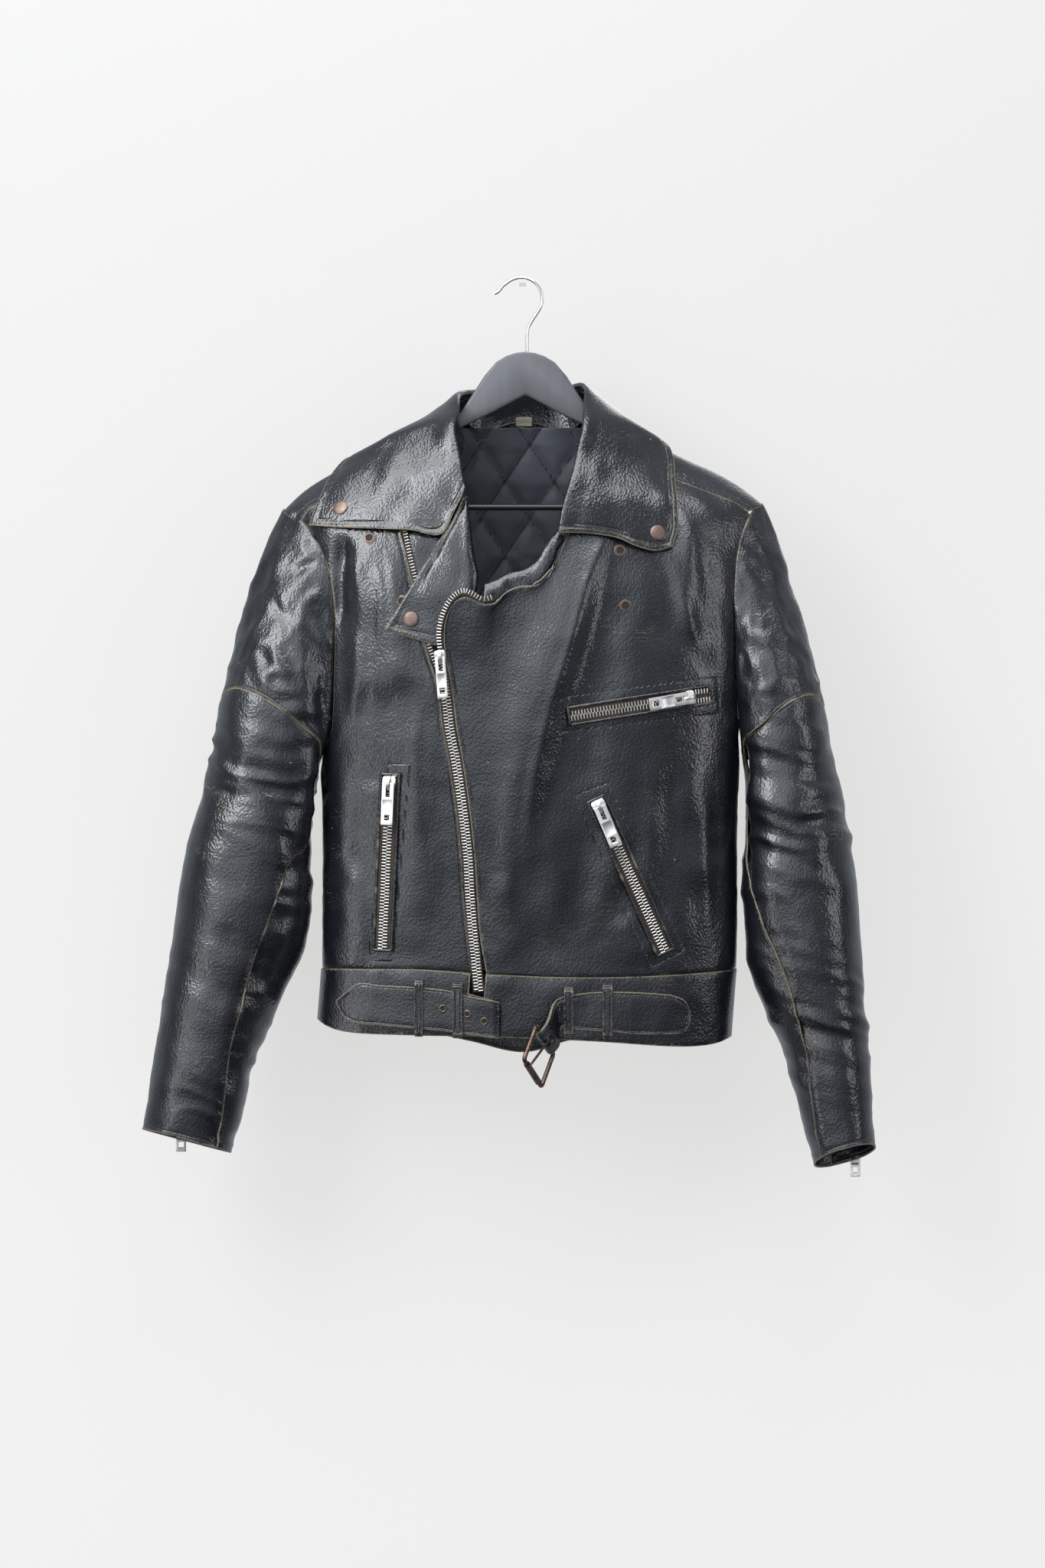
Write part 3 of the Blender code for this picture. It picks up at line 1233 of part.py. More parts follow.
def hanger():
    right = [(HANGER_MIDDLE + x, z) for x, z in HANGER_HALF]
    left = [(HANGER_MIDDLE - x, z) for x, z in reversed(HANGER_HALF[1:-1])]
    outline = right + left
    half = HANGER_THICKNESS / 2
    count = len(outline)
    points = [Vector((x, -half, z)) for x, z in outline]
    points += [Vector((x, half, z)) for x, z in outline]
    faces = [list(range(count)), list(reversed(range(count, 2 * count)))]
    for k in range(count):
        n = (k + 1) % count
        faces.append([n, k, k + count, n + count])
    made = finish("hanger_body", points, faces, hanger_wood)
    rounding = made.modifiers.new("rounding", "BEVEL")
    rounding.width = 2.5 * MM
    rounding.segments = 2
    rounding.limit_method = "ANGLE"
    rounding.angle_limit = radians(50)


hanger()
bar_ends = [Vector((HANGER_MIDDLE + side * 188.5, 0, -216.5)) for side in (-1, 1)]
wire("hanger_bar", [bar_ends[0], bar_ends[0].lerp(bar_ends[1], 0.5), bar_ends[1]], BAR_RADIUS,
     bar_paint, 12)

# The hook: a bow over the peg, then a stem down to the wood. Its crown's underside is
# the origin.
hook_centre = Vector((-2, 0, HOOK_WIRE - HOOK_RADIUS))
hook_path = [Vector((-26.6, 0, -13.8)), Vector((-24, 0, -12.6)), Vector((-21, 0, -9.4)),
             Vector((-18, 0, -4.8))]
hook_path += [hook_centre + Vector((cos(radians(t)), 0, sin(radians(t)))) * HOOK_RADIUS
              for t in range(128, -31, -15)]
hook_path += [Vector((11, 0, -35.5)), Vector((6.0, 0, -43)), Vector((4, 0, -48)),
              Vector((3.6, 0, -56)), Vector((3.6, 0, -68.6))]
wire("hanger_hook", hook_path, HOOK_WIRE, hook_chrome, 8)
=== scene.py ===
import bpy, bmesh, json
import numpy as np
from math import atan, cos, hypot, pi, radians, sin, sqrt
from mathutils import Matrix, Vector
from mathutils.bvhtree import BVHTree
from mathutils.kdtree import KDTree

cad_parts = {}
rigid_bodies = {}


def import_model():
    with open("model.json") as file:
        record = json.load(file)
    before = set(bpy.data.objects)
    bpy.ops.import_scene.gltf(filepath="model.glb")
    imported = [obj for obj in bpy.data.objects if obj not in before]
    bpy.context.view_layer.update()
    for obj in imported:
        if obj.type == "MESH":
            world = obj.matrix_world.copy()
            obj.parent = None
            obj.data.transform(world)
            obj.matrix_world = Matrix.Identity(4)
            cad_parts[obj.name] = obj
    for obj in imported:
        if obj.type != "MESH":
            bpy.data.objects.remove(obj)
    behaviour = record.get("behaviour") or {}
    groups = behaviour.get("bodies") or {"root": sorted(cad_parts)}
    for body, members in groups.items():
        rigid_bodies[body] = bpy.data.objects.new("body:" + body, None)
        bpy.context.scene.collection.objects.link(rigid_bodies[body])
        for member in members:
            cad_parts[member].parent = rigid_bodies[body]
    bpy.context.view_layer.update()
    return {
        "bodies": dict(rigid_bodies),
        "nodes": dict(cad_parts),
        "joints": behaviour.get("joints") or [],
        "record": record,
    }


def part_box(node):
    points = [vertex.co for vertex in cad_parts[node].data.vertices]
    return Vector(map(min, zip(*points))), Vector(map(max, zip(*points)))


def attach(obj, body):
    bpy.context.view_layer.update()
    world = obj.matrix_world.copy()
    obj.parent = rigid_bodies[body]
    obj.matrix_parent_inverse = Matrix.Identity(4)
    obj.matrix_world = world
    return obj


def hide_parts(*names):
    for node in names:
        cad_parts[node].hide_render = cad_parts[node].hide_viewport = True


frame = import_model()
nodes = frame["nodes"]
MM = 0.001

# ---------------------------------------------------------------------------
# Camera, wall, floor and lamps. The hanger's hook hangs on a white wall; the
# camera looks at it level, from 12 m in front.
# ---------------------------------------------------------------------------

scene = bpy.context.scene
scene.view_settings.view_transform = "Standard"
camera = bpy.data.objects.new("camera", bpy.data.cameras.new("camera"))
scene.collection.objects.link(camera)
scene.camera = camera
camera.location = (-0.0008, -12, -0.4791)
camera.rotation_euler = (pi / 2, 0, 0)
camera.data.sensor_width = 36
VIEW_HEIGHT, VIEW_PLANE = 1.488, 12.0      # what the camera sees, and at what distance
camera.data.lens = 18 / (VIEW_HEIGHT / 2 / VIEW_PLANE)


def new_mesh(name, points, faces):
    """A mesh object at the origin, from points in metres."""
    mesh = bpy.data.meshes.new(name)
    mesh.from_pydata([tuple(p) for p in points], [], [tuple(f) for f in faces])
    mesh.update()
    made = bpy.data.objects.new(name, mesh)
    scene.collection.objects.link(made)
    return made


def plane(name, centre, across, up):
    centre, across, up = Vector(centre), Vector(across), Vector(up)
    corners = [centre - across - up, centre + across - up, centre + across + up,
               centre - across + up]
    made = new_mesh(name, corners, [(0, 1, 2, 3)])
    return made


WALL_COLOR, FLOOR_COLOR = (0.870, 0.863, 0.855), (0.84, 0.83, 0.825)
wall = plane("wall", (0, 0.085, -0.2), (3.2, 0, 0), (0, 0, 2.6))
floor = plane("floor", (0, 0, -1.36), (6, 0, 0), (0, 6, 0))


class Wire:
    """A socket of a material's node, with arithmetic that adds Math nodes."""

    def __init__(self, finish, socket):
        self.finish, self.socket = finish, socket

    def math(self, operation, *values):
        return self.finish.node("ShaderNodeMath", {"operation": operation}, values)

    def __add__(self, other):
        return self.math("ADD", self, other)

    def __sub__(self, other):
        return self.math("SUBTRACT", self, other)

    def __rsub__(self, other):
        return self.math("SUBTRACT", other, self)

    def __mul__(self, other):
        return self.math("MULTIPLY", self, other)

    __radd__, __rmul__ = __add__, __mul__

    def power(self, exponent):
        return self.math("POWER", self, exponent)

    def most(self, other):
        return self.math("MAXIMUM", self, other)

    def step(self, low, high):
        """0 below low and 1 above high, smoothly; low may be the larger."""
        settings = {"interpolation_type": "SMOOTHSTEP"}
        if low < high:
            return self.finish.node("ShaderNodeMapRange", settings,
                                    {"Value": self, "From Min": low, "From Max": high})
        return 1 - self.step(high, low)


class Finish:
    """A material: a Principled shader and what is wired to it."""

    def __init__(self, name, color, roughness, metallic=0.0, **sockets):
        self.material = bpy.data.materials.new(name)
        self.material.use_nodes = True
        self.tree = self.material.node_tree
        self.shader = self.tree.nodes["Principled BSDF"]
        self.put("Base Color", color)
        self.put("Roughness", roughness)
        self.put("Metallic", metallic)
        for key, value in sockets.items():
            self.put(key.replace("_", " "), value)

    def plug(self, socket, value):
        if isinstance(value, Wire):
            self.tree.links.new(value.socket, socket)
        elif isinstance(value, tuple) and len(value) == 3 and socket.type == "RGBA":
            socket.default_value = value + (1,)
        else:
            socket.default_value = value

    def put(self, name, value):
        self.plug(self.shader.inputs[name], value)

    def node(self, kind, settings=None, values=(), output=0):
        made = self.tree.nodes.new(kind)
        for key, value in (settings or {}).items():
            if key == "stops":
                ramp = made.color_ramp
                while len(ramp.elements) < len(value):
                    ramp.elements.new(0.5)
                for element, (place, color) in zip(ramp.elements, value):
                    element.position, element.color = place, color + (1,)
            else:
                setattr(made, key, value)
        pairs = values.items() if isinstance(values, dict) else enumerate(values)
        for key, value in pairs:
            self.plug(made.inputs[key], value)
        return Wire(self, made.outputs[output])

    def place(self):
        return self.node("ShaderNodeTexCoord", output="Object")

    def scaled(self, scale):
        return self.node("ShaderNodeMapping", None, {"Vector": self.place(), "Scale": scale})

    def noise(self, scale, detail=3.0, rough=0.55, where=None):
        return self.node("ShaderNodeTexNoise", None,
                         {"Vector": where or self.place(), "Scale": scale,
                          "Detail": detail, "Roughness": rough})

    def cells(self, scale, feature="F1", where=None, jitter=1.0):
        return self.node("ShaderNodeTexVoronoi", {"feature": feature},
                         {"Vector": where or self.place(), "Scale": scale,
                          "Randomness": jitter}, "Distance")

    def attribute(self, name):
        return self.node("ShaderNodeAttribute", {"attribute_name": name}, output="Fac")

    def mix(self, share, first, second):
        return self.node("ShaderNodeMix", {"data_type": "RGBA"},
                         {0: share, 6: first, 7: second}, 2)

    def bump(self, height, distance, strength=1.0, normal=None):
        values = {"Height": height, "Distance": distance, "Strength": strength}
        if normal:
            values["Normal"] = normal
        return self.node("ShaderNodeBump", None, values)


def backdrop(made, color, lit=0.25):
    """Paint that the camera sees from its front: mostly its own even glow, a little
    darker towards the top where more light falls, with the object's shadow over it."""
    finish = Finish(made.name + "_paint", tuple(c * lit for c in color), 0.9,
                    Specular_IOR_Level=0.0, Emission_Strength=1.0)
    height = finish.node("ShaderNodeSeparateXYZ", None, {0: finish.place()}, "Z")
    top, foot = [tuple(c * (1 - lit) * k for c in color) for k in (0.87, 1.06)]
    finish.put("Emission Color", finish.mix(height.step(-1.25, 0.3), foot, top))
    back = finish.node("ShaderNodeNewGeometry", output="Backfacing")
    clear = finish.node("ShaderNodeBsdfTransparent")
    paint = Wire(finish, finish.shader.outputs[0])
    mixed = finish.node("ShaderNodeMixShader", None, {0: back, 1: paint, 2: clear})
    finish.tree.links.new(mixed.socket, finish.tree.nodes["Material Output"].inputs["Surface"])
    made.data.materials.append(finish.material)
    made.visible_diffuse = made.visible_glossy = False
    made.visible_shadow = made.visible_transmission = False


backdrop(wall, WALL_COLOR)
backdrop(floor, FLOOR_COLOR)


def lamp(name, place, target, size, power, color=(1, 1, 1)):
    data = bpy.data.lights.new(name, "AREA")
    data.shape, data.size, data.size_y = "RECTANGLE", size[0], size[1]
    data.energy, data.color = power, color
    made = bpy.data.objects.new(name, data)
    scene.collection.objects.link(made)
    made.location = place
    made.rotation_euler = (Vector(target) - Vector(place)).to_track_quat("-Z", "Y").to_euler()


bpy.ops.mesh.primitive_cube_add(size=1)
peg = bpy.context.view_layer.objects.active
peg.name = "wall_peg"
bpy.ops.object.mode_set(mode="EDIT")
bpy.ops.transform.resize(value=(0.0065, 0.092, 0.0035))
bpy.ops.transform.translate(value=(-0.0008, 0.0395, -0.00185))
bpy.ops.mesh.select_all(action="DESELECT")
shape = bmesh.from_edit_mesh(peg.data)
for face in shape.faces:
    face.select_set(face.normal.y < -0.9)
bmesh.update_edit_mesh(peg.data)
bpy.ops.mesh.extrude_region_move(TRANSFORM_OT_translate={"value": (0, -0.002, 0)})
bpy.ops.transform.resize(value=(1, 1, 2.6))
bpy.ops.transform.translate(value=(0, 0, 0.0016))
bpy.ops.object.mode_set(mode="OBJECT")
peg.select_set(False)
backdrop(peg, WALL_COLOR)

MIDDLE = (0, 0, -0.45)
lamp("key", (-1.7, -1.7, 0.9), MIDDLE, (1.0, 1.6), 42, (0.96, 0.98, 1.0))
lamp("top", (-0.2, -0.9, 1.5), (0, 0, -0.5), (2.4, 1.2), 46, (0.96, 0.98, 1.0))
lamp("fill", (2.2, -1.5, 0.0), MIDDLE, (0.6, 1.8), 12, (0.97, 0.98, 1.0))
lamp("low", (-1.8, -1.5, -1.1), MIDDLE, (0.5, 1.0), 5)
lamp("back", (0.6, 2.2, 0.8), MIDDLE, (1.6, 1.6), 14)
world = bpy.data.worlds.new("studio")
scene.world = world
world.use_nodes = True
sky_tree = world.node_tree
sky = sky_tree.nodes["Background"]
sky.inputs["Color"].default_value = (0.89, 0.94, 1.0, 1)


def sky_node(kind, operation=None, values=(), output=0):
    made = sky_tree.nodes.new(kind)
    if operation:
        made.operation = operation
    for k, value in enumerate(values):
        if isinstance(value, bpy.types.NodeSocket):
            sky_tree.links.new(value, made.inputs[k])
        else:
            made.inputs[k].default_value = value
    return made.outputs[output]


# glossy pieces see a white room behind the object, a light ceiling, and one broad pale
# window on the camera's side, up and to the left
paths = sky_tree.nodes.new("ShaderNodeLightPath")
seen = sky_node("ShaderNodeMath", "MAXIMUM", (paths.outputs["Is Glossy Ray"],
                                              paths.outputs["Is Transmission Ray"]))
ways = sky_tree.nodes.new("ShaderNodeSeparateXYZ")
sky_tree.links.new(sky_node("ShaderNodeTexCoord"), ways.inputs[0])
ahead = sky_node("ShaderNodeMapRange", None, (ways.outputs["Y"], -0.5, 0.35, 0.03, 0.6))
above = sky_node("ShaderNodeMapRange", None, (ways.outputs["Z"], 0.1, 0.8, 0.0, 0.55))
facing = sky_node("ShaderNodeVectorMath", "DOT_PRODUCT",
                  (sky_node("ShaderNodeTexCoord"), (-0.35, -0.85, 0.40)), 1)
window = sky_node("ShaderNodeMapRange", None, (facing, 0.80, 0.97, 0.0, 1.5))
round_window = sky_node("ShaderNodeMapRange", None, (facing, 0.25, 0.85, 0.02, 0.6))
window = sky_node("ShaderNodeMath", "ADD", (window, round_window))
room = sky_node("ShaderNodeMath", "MAXIMUM",
                (sky_node("ShaderNodeMath", "MAXIMUM", (ahead, above)), window))
glossy = sky_node("ShaderNodeMath", "MULTIPLY", (seen, room))
plain = sky_node("ShaderNodeMath", "MULTIPLY_ADD", (seen, -0.42, 0.42))
indirect = sky_node("ShaderNodeMath", "ADD", (glossy, plain))
total = sky_node("ShaderNodeMath", "MAXIMUM", (indirect, paths.outputs["Is Camera Ray"]))
sky_tree.links.new(total, sky.inputs["Strength"])

# ---------------------------------------------------------------------------
# Hanger: a flat arm of stained wood, a black trouser bar let into its ends, and
# a bright wire hook screwed into its middle.
# ---------------------------------------------------------------------------

HOOK_WIRE, HOOK_RADIUS = 1.5, 20.0
hook_centre = np.array([-2, 0, HOOK_WIRE - HOOK_RADIUS])
hook_line = [(-27.4, 0, -13.6), (-25.2, 0, -12.9), (-22.4, 0, -10.6), (-19.4, 0, -6.6)]
hook_line += [tuple(hook_centre + np.array([cos(radians(t)), 0, sin(radians(t))]) * HOOK_RADIUS)
              for t in range(130, -31, -10)]
hook_line += [(12.6, 0, -33), (9.2, 0, -38), (6.2, 0, -43), (4.3, 0, -48), (3.7, 0, -53),
              (3.6, 0, -70)]


def spline(points, per=6):
    """More points on a smooth curve through the given ones."""
    points = np.array(points, float)
    made = []
    for k in range(len(points) - 1):
        a, b, c, d = [points[min(max(k + j, 0), len(points) - 1)] for j in (-1, 0, 1, 2)]
        for j in range(per):
            t = j / per
            made.append((b * 2 + (c - a) * t + (a * 2 - b * 5 + c * 4 - d) * t * t
                         + (b * 3 - a - c * 3 + d) * t ** 3) / 2)
    return np.array(made + [points[-1]])


def tube(name, line, radius, sides=16, closed=False):
    """A round wire along points in mm; the radius may change along it."""
    line = np.array(line, float)
    count = len(line)
    radii = np.broadcast_to(radius, (count,)) if np.ndim(radius) == 0 else np.array(radius)
    after = np.roll(line, -1, 0) if closed else np.vstack([line[1:], line[-1:]])
    before = np.roll(line, 1, 0) if closed else np.vstack([line[:1], line[:-1]])
    ways = after - before
    ways /= np.linalg.norm(ways, axis=1)[:, None]
    side = Vector(ways[0]).orthogonal().normalized()
    points = []
    for k in range(count):
        way = Vector(ways[k])
        side = (side - way * side.dot(way)).normalized()
        other = way.cross(side)
        for j in range(sides):
            t = 2 * pi * j / sides
            points.append((Vector(line[k]) + (side * cos(t) + other * sin(t)) * radii[k]) * MM)
    faces = []
    rings = count if closed else count - 1
    for k in range(rings):
        for j in range(sides):
            a, b = k * sides + j, k * sides + (j + 1) % sides
            c, d = (k + 1) % count * sides + j, (k + 1) % count * sides + (j + 1) % sides
            faces.append((a, b, d, c))
    if not closed:
        faces.append(tuple(reversed(range(sides))))
        faces.append(tuple(range((count - 1) * sides, count * sides)))
    made = new_mesh(name, points, faces)
    smooth(made, 50)
    return made


def smooth(made, angle=40):
    """Shade smooth, with edges sharper than the angle left sharp."""
    bpy.ops.object.select_all(action="DESELECT")
    bpy.context.view_layer.objects.active = made
    made.select_set(True)
    bpy.ops.object.shade_smooth_by_angle(angle=radians(angle))
    made.select_set(False)


def dress(made, finish, body, *replaced, slot=None):
    """Give a piece its material, its body and the CAD nodes that it stands for."""
    made.data.materials.clear()
    made.data.materials.append(finish.material)
    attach(made, body)
    if replaced:
        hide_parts(*replaced)
    return made


def copy_of(node, name):
    """A copy of a CAD node with its loose triangles merged."""
    made = bpy.data.objects.new(name, nodes[node].data.copy())
    scene.collection.objects.link(made)
    shape = bmesh.new()
    shape.from_mesh(made.data)
    bmesh.ops.remove_doubles(shape, verts=shape.verts, dist=1e-5)
    bmesh.ops.dissolve_limit(shape, angle_limit=radians(0.5), verts=shape.verts,
                             edges=shape.edges)
    shape.to_mesh(made.data)
    shape.free()
    return made


chrome = Finish("bright_wire", (0.80, 0.80, 0.81), 0.16, 1.0)
chrome.put("Roughness", chrome.noise(90, 2).step(0.3, 0.8) * 0.12 + 0.12)
wood = Finish("stained_wood", (0.10, 0.103, 0.11), 0.42, Specular_IOR_Level=0.5)
pores = wood.noise(150, 4, 0.6, wood.scaled((1, 1, 0.12)))
cloud = wood.noise(30, 3, 0.5)
wood.put("Base Color", wood.mix(pores.step(0.3, 0.75), (0.098, 0.102, 0.112),
                                (0.112, 0.116, 0.127)))
wood.put("Roughness", pores * 0.10 + cloud * 0.12 + 0.30)
wood.put("Normal", wood.bump(pores, 0.00005, 0.2))
gloss_black = Finish("gloss_black", (0.008, 0.008, 0.009), 0.18)
gloss_black.put("Roughness", gloss_black.noise(70, 3) * 0.14 + 0.12)

dress(tube("hook_wire", spline(hook_line, 4), HOOK_WIRE, 14), chrome, "jacket",
      "hanger_hook", slot="hook_chrome")
arm = copy_of("hanger_body", "hanger_arm")
smooth(arm, 32)
dress(arm, wood, "jacket", "hanger_body", slot="hanger_wood")
low, high = [np.array(v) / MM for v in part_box("hanger_bar")]
bar_height, bar_depth = (low[2] + high[2]) / 2, (low[1] + high[1]) / 2
rod = tube("trouser_bar", [(x, bar_depth, bar_height) for x in np.linspace(low[0], high[0], 9)],
           (high[2] - low[2]) / 2, 24)
dress(rod, gloss_black, "jacket", "hanger_bar", slot="hanger_bar")

# ---------------------------------------------------------------------------
# Leather and how a panel is made. Black cow leather 1.6 mm thick with a fine
# grain, worn tan where edges and folds rub. Each panel is taken from its CAD wall,
# drawn smooth, folded and creased, and given its thickness.
# ---------------------------------------------------------------------------

LEATHER = 1.6
BLACK, WORN, SCUFF = (0.0062, 0.0074, 0.0108), (0.25, 0.215, 0.14), (0.10, 0.088, 0.062)


def leather_finish(name, wear=1.0, rough=0.34, color=BLACK, lumps=0.4):
    """Lumps says how strongly the leather is crumpled beside its modelled folds."""
    made = Finish(name, color, rough, Specular_IOR_Level=0.75)
    edge, stitch, run = [made.attribute(n) for n in ("edge", "stitch", "run")]
    crest = made.attribute("crest")
    broad = made.noise(9, 3, 0.5)
    patch = made.noise(55, 4, 0.55)
    fine = made.noise(420, 3, 0.6)
    grain = made.cells(530, "SMOOTH_F1", made.scaled((1, 1, 0.85)))
    # worn edges: a thin broken line at the cut, and a softer rubbed band beside it
    line = edge.step(1.6, 0.5) * (patch * 0.7 + fine * 0.3).step(0.32, 0.50)
    band = edge.step(6.5, 0.5) * (patch * 0.5 + fine * 0.5).step(0.52, 0.66) * 0.6
    # scratches: thin lines that run across the sleeves, and small nicks
    thin = made.noise(150, 2, 0.5, made.scaled((0.22, 0.5, 2.2))) - 0.5
    scratch = thin.math("ABSOLUTE", thin).step(0.012, 0.003) * made.noise(14, 2).step(0.60, 0.72)
    specks = made.noise(210, 1, 0.5).step(0.765, 0.80) * made.noise(18, 2).step(0.52, 0.62)
    rubbed = crest.step(0.45, 1.2) * fine.step(0.5, 0.72) * 0.5
    worn = line.most(band).most(scratch * 0.7).most(specks).most(rubbed) * wear
    worn = worn.math("MINIMUM", worn, 0.92)
    tone = made.mix(broad.step(0.35, 0.7), color, tuple(c * 1.5 for c in color))
    tone = made.mix(worn, tone, made.mix(fine, SCUFF, WORN))
    beat = (run * (pi / 3.2)).math("SINE", run * (pi / 3.2))
    thread = stitch.step(0.75, 0.5) * beat.math("ABSOLUTE", beat).step(0.25, 0.45)
    made.put("Base Color", made.mix(thread * 0.7, tone, (0.012, 0.011, 0.010)))
    polish = patch * 0.16 + fine * 0.03 + broad * 0.12
    made.put("Roughness", polish + worn * 0.28 + thread * 0.2 + (rough - 0.24))
    groove = stitch.step(1.3, 0.2)
    normal = made.bump(grain * 0.9 + fine * 0.2, 0.00062, 0.6)
    soft = made.noise(130, 3, 0.5, made.scaled((1.2, 1, 0.5)))
    normal = made.bump(soft, 0.0006, 0.4, normal)
    normal = made.bump(made.noise(26, 1.0, 0.3), 0.008 * lumps, 0.7, normal)
    normal = made.bump(thread * 1.6 - groove, 0.0008, 0.9, normal)
    made.put("Normal", normal)
    return made


leather = leather_finish("black_leather")
inner_leather = leather_finish("inner_leather", 0.1, 0.32)
sleeve_leather = leather_finish("sleeve_leather", 1.15, 0.34, lumps=0.55)


def corners_of(shape, skin):
    return {v.index for k in skin for v in shape.faces[k].verts}


def smooth_pieces(shape, allowed, bend=180):
    """Pieces of the allowed triangles, parted where two meet at more than the bend."""
    left, pieces = set(allowed), []
    while left:
        first = left.pop()
        piece, todo = [first], [shape.faces[first]]
        while todo:
            for e in todo.pop().edges:
                if bend < 180 and e.calc_face_angle(0) > radians(bend):
                    continue
                for f in e.link_faces:
                    if f.index in left:
                        left.remove(f.index)
                        piece.append(f.index)
                        todo.append(f)
        pieces.append(piece)
    return pieces


def folded_skins(shape, shortest, want, thickness):
    """The two skins of a wall that is folded as sharply as its rim.

    One whole skin gives the other: all triangles that share no corner with it. Where
    both lack a few triangles at their ends, a corner there belongs to the skin opposite
    to that of its neighbour one thickness away.
    """
    for piece in smooth_pieces(shape, {f.index for f in shape.faces if shortest[f.index] > 2.99}):
        own = corners_of(shape, piece)
        other = [f.index for f in shape.faces if not own & {v.index for v in f.verts}]
        if len(piece) == len(other) == want:
            return [piece, other]
    pieces = sorted(smooth_pieces(shape, range(len(shape.faces)), 40), key=len)[-2:]
    sides = [corners_of(shape, piece) for piece in pieces]
    for e in shape.edges:
        if abs(e.calc_length() / MM - thickness) > 0.005:
            continue
        a, b = (v.index for v in e.verts)
        for one, two in ((a, b), (b, a)):
            if one not in sides[0] | sides[1]:
                sides[0 if two in sides[1] else 1].add(one)
    return [[f.index for f in shape.faces if {v.index for v in f.verts} <= side]
            for side in sides]


def find_skin(node, rows, cols, core, thickness=1.6):
    """The outer skin of a CAD wall as a grid of points, rows upwards, in mm.

    The wall is a closed body of two skins and a rim. The rim's triangles are the ones
    with an edge as short as the leather is thick; each skin then has as many triangles
    as its rows and columns give.
    """
    shape = bmesh.new()
    shape.from_mesh(nodes[node].data)
    bmesh.ops.remove_doubles(shape, verts=shape.verts, dist=1e-5)
    shape.faces.ensure_lookup_table()
    shape.verts.ensure_lookup_table()
    shape.normal_update()
    tree = BVHTree.FromBMesh(shape)
    shortest = [min(e.calc_length() for e in f.edges) / MM for f in shape.faces]

    def through(face):
        middle = face.calc_center_median()
        hit, normal, _, distance = tree.ray_cast(middle - face.normal * 2e-5, -face.normal)
        return hit is not None and distance < 0.0045 and normal.dot(face.normal) < -0.6

    tests = [lambda f, t=t: shortest[f.index] > t for t in (1.38, 1.84, 2.24, 2.8, 2.99)]
    want = 2 * rows * cols
    skins = []
    for bend, test in [(180, t) for t in tests + [through]] + [(b, lambda f: True)
                                                               for b in (40, 50, 60, 70)]:
        skins = smooth_pieces(shape, {f.index for f in shape.faces if test(f)}, bend)
        skins = [s for s in skins if len(s) == want]
        if len(skins) == 2:
            break
    else:
        skins = folded_skins(shape, shortest, want, thickness)
        if [len(s) for s in skins] != [want, want]:
            raise ValueError(node + " has no skins of " + str(want) + " triangles")
    core = Vector(core) * MM

    def outward(skin):
        return sum((shape.faces[k].calc_center_median() - core).dot(shape.faces[k].normal)
                   * shape.faces[k].calc_area() for k in skin)

    skin = max(skins, key=outward)
    near, count = {}, {}
    for k in skin:
        for e in shape.faces[k].edges:
            a, b = e.verts[0].index, e.verts[1].index
            near.setdefault(a, set()).add(b)
            near.setdefault(b, set()).add(a)
            count[a, b] = count.get((a, b), 0) + 1
    border = {}
    for (a, b), n in count.items():
        if n == 1:
            border.setdefault(a, []).append(b)
            border.setdefault(b, []).append(a)
    loop = [next(iter(border))]
    while len(loop) < len(border):
        options = [v for v in border[loop[-1]] if v not in loop[-2:]]
        loop.append(options[0])
    places = {v: np.array(shape.verts[v].co) / MM for v in near}
    shape.free()

    def steps_from(start):
        steps, edge_of = {v: 0 for v in start}, list(start)
        while edge_of:
            after = []
            for v in edge_of:
                for w in near[v]:
                    if w not in steps:
                        steps[w] = steps[v] + 1
                        after.append(w)
            edge_of = after
        return steps

    total = len(loop)
    for shift in range(total):
        turned = loop[shift:] + loop[:shift]
        row = steps_from(turned[:cols + 1])
        if any(row[v] != rows for v in turned[cols + rows:2 * cols + rows + 1]):
            continue
        col = steps_from([turned[0]] + turned[2 * cols + rows:])
        if len({(row[v], col[v]) for v in near}) != (rows + 1) * (cols + 1) \
                or max(row.values()) > rows or max(col.values()) > cols:
            continue
        grid = np.zeros((rows + 1, cols + 1, 3))
        for v in near:
            grid[row[v], col[v]] = places[v]
        return grid
    raise ValueError(node + " has no corner that fits its rows")


def turn_up(grid, axis=2, core=(0, -10, -430)):
    """Rows run up (or along the axis), and the normals of the grid point out."""
    if grid[0, :, axis].mean() > grid[-1, :, axis].mean():
        grid = grid[::-1]
    middle = grid[1:, 1:] - np.array(core)
    normal = np.cross(grid[1:, 1:] - grid[:-1, :-1], grid[1:, :-1] - grid[:-1, 1:])
    if (middle * normal).sum() < 0:
        grid = grid[:, ::-1]
    return grid


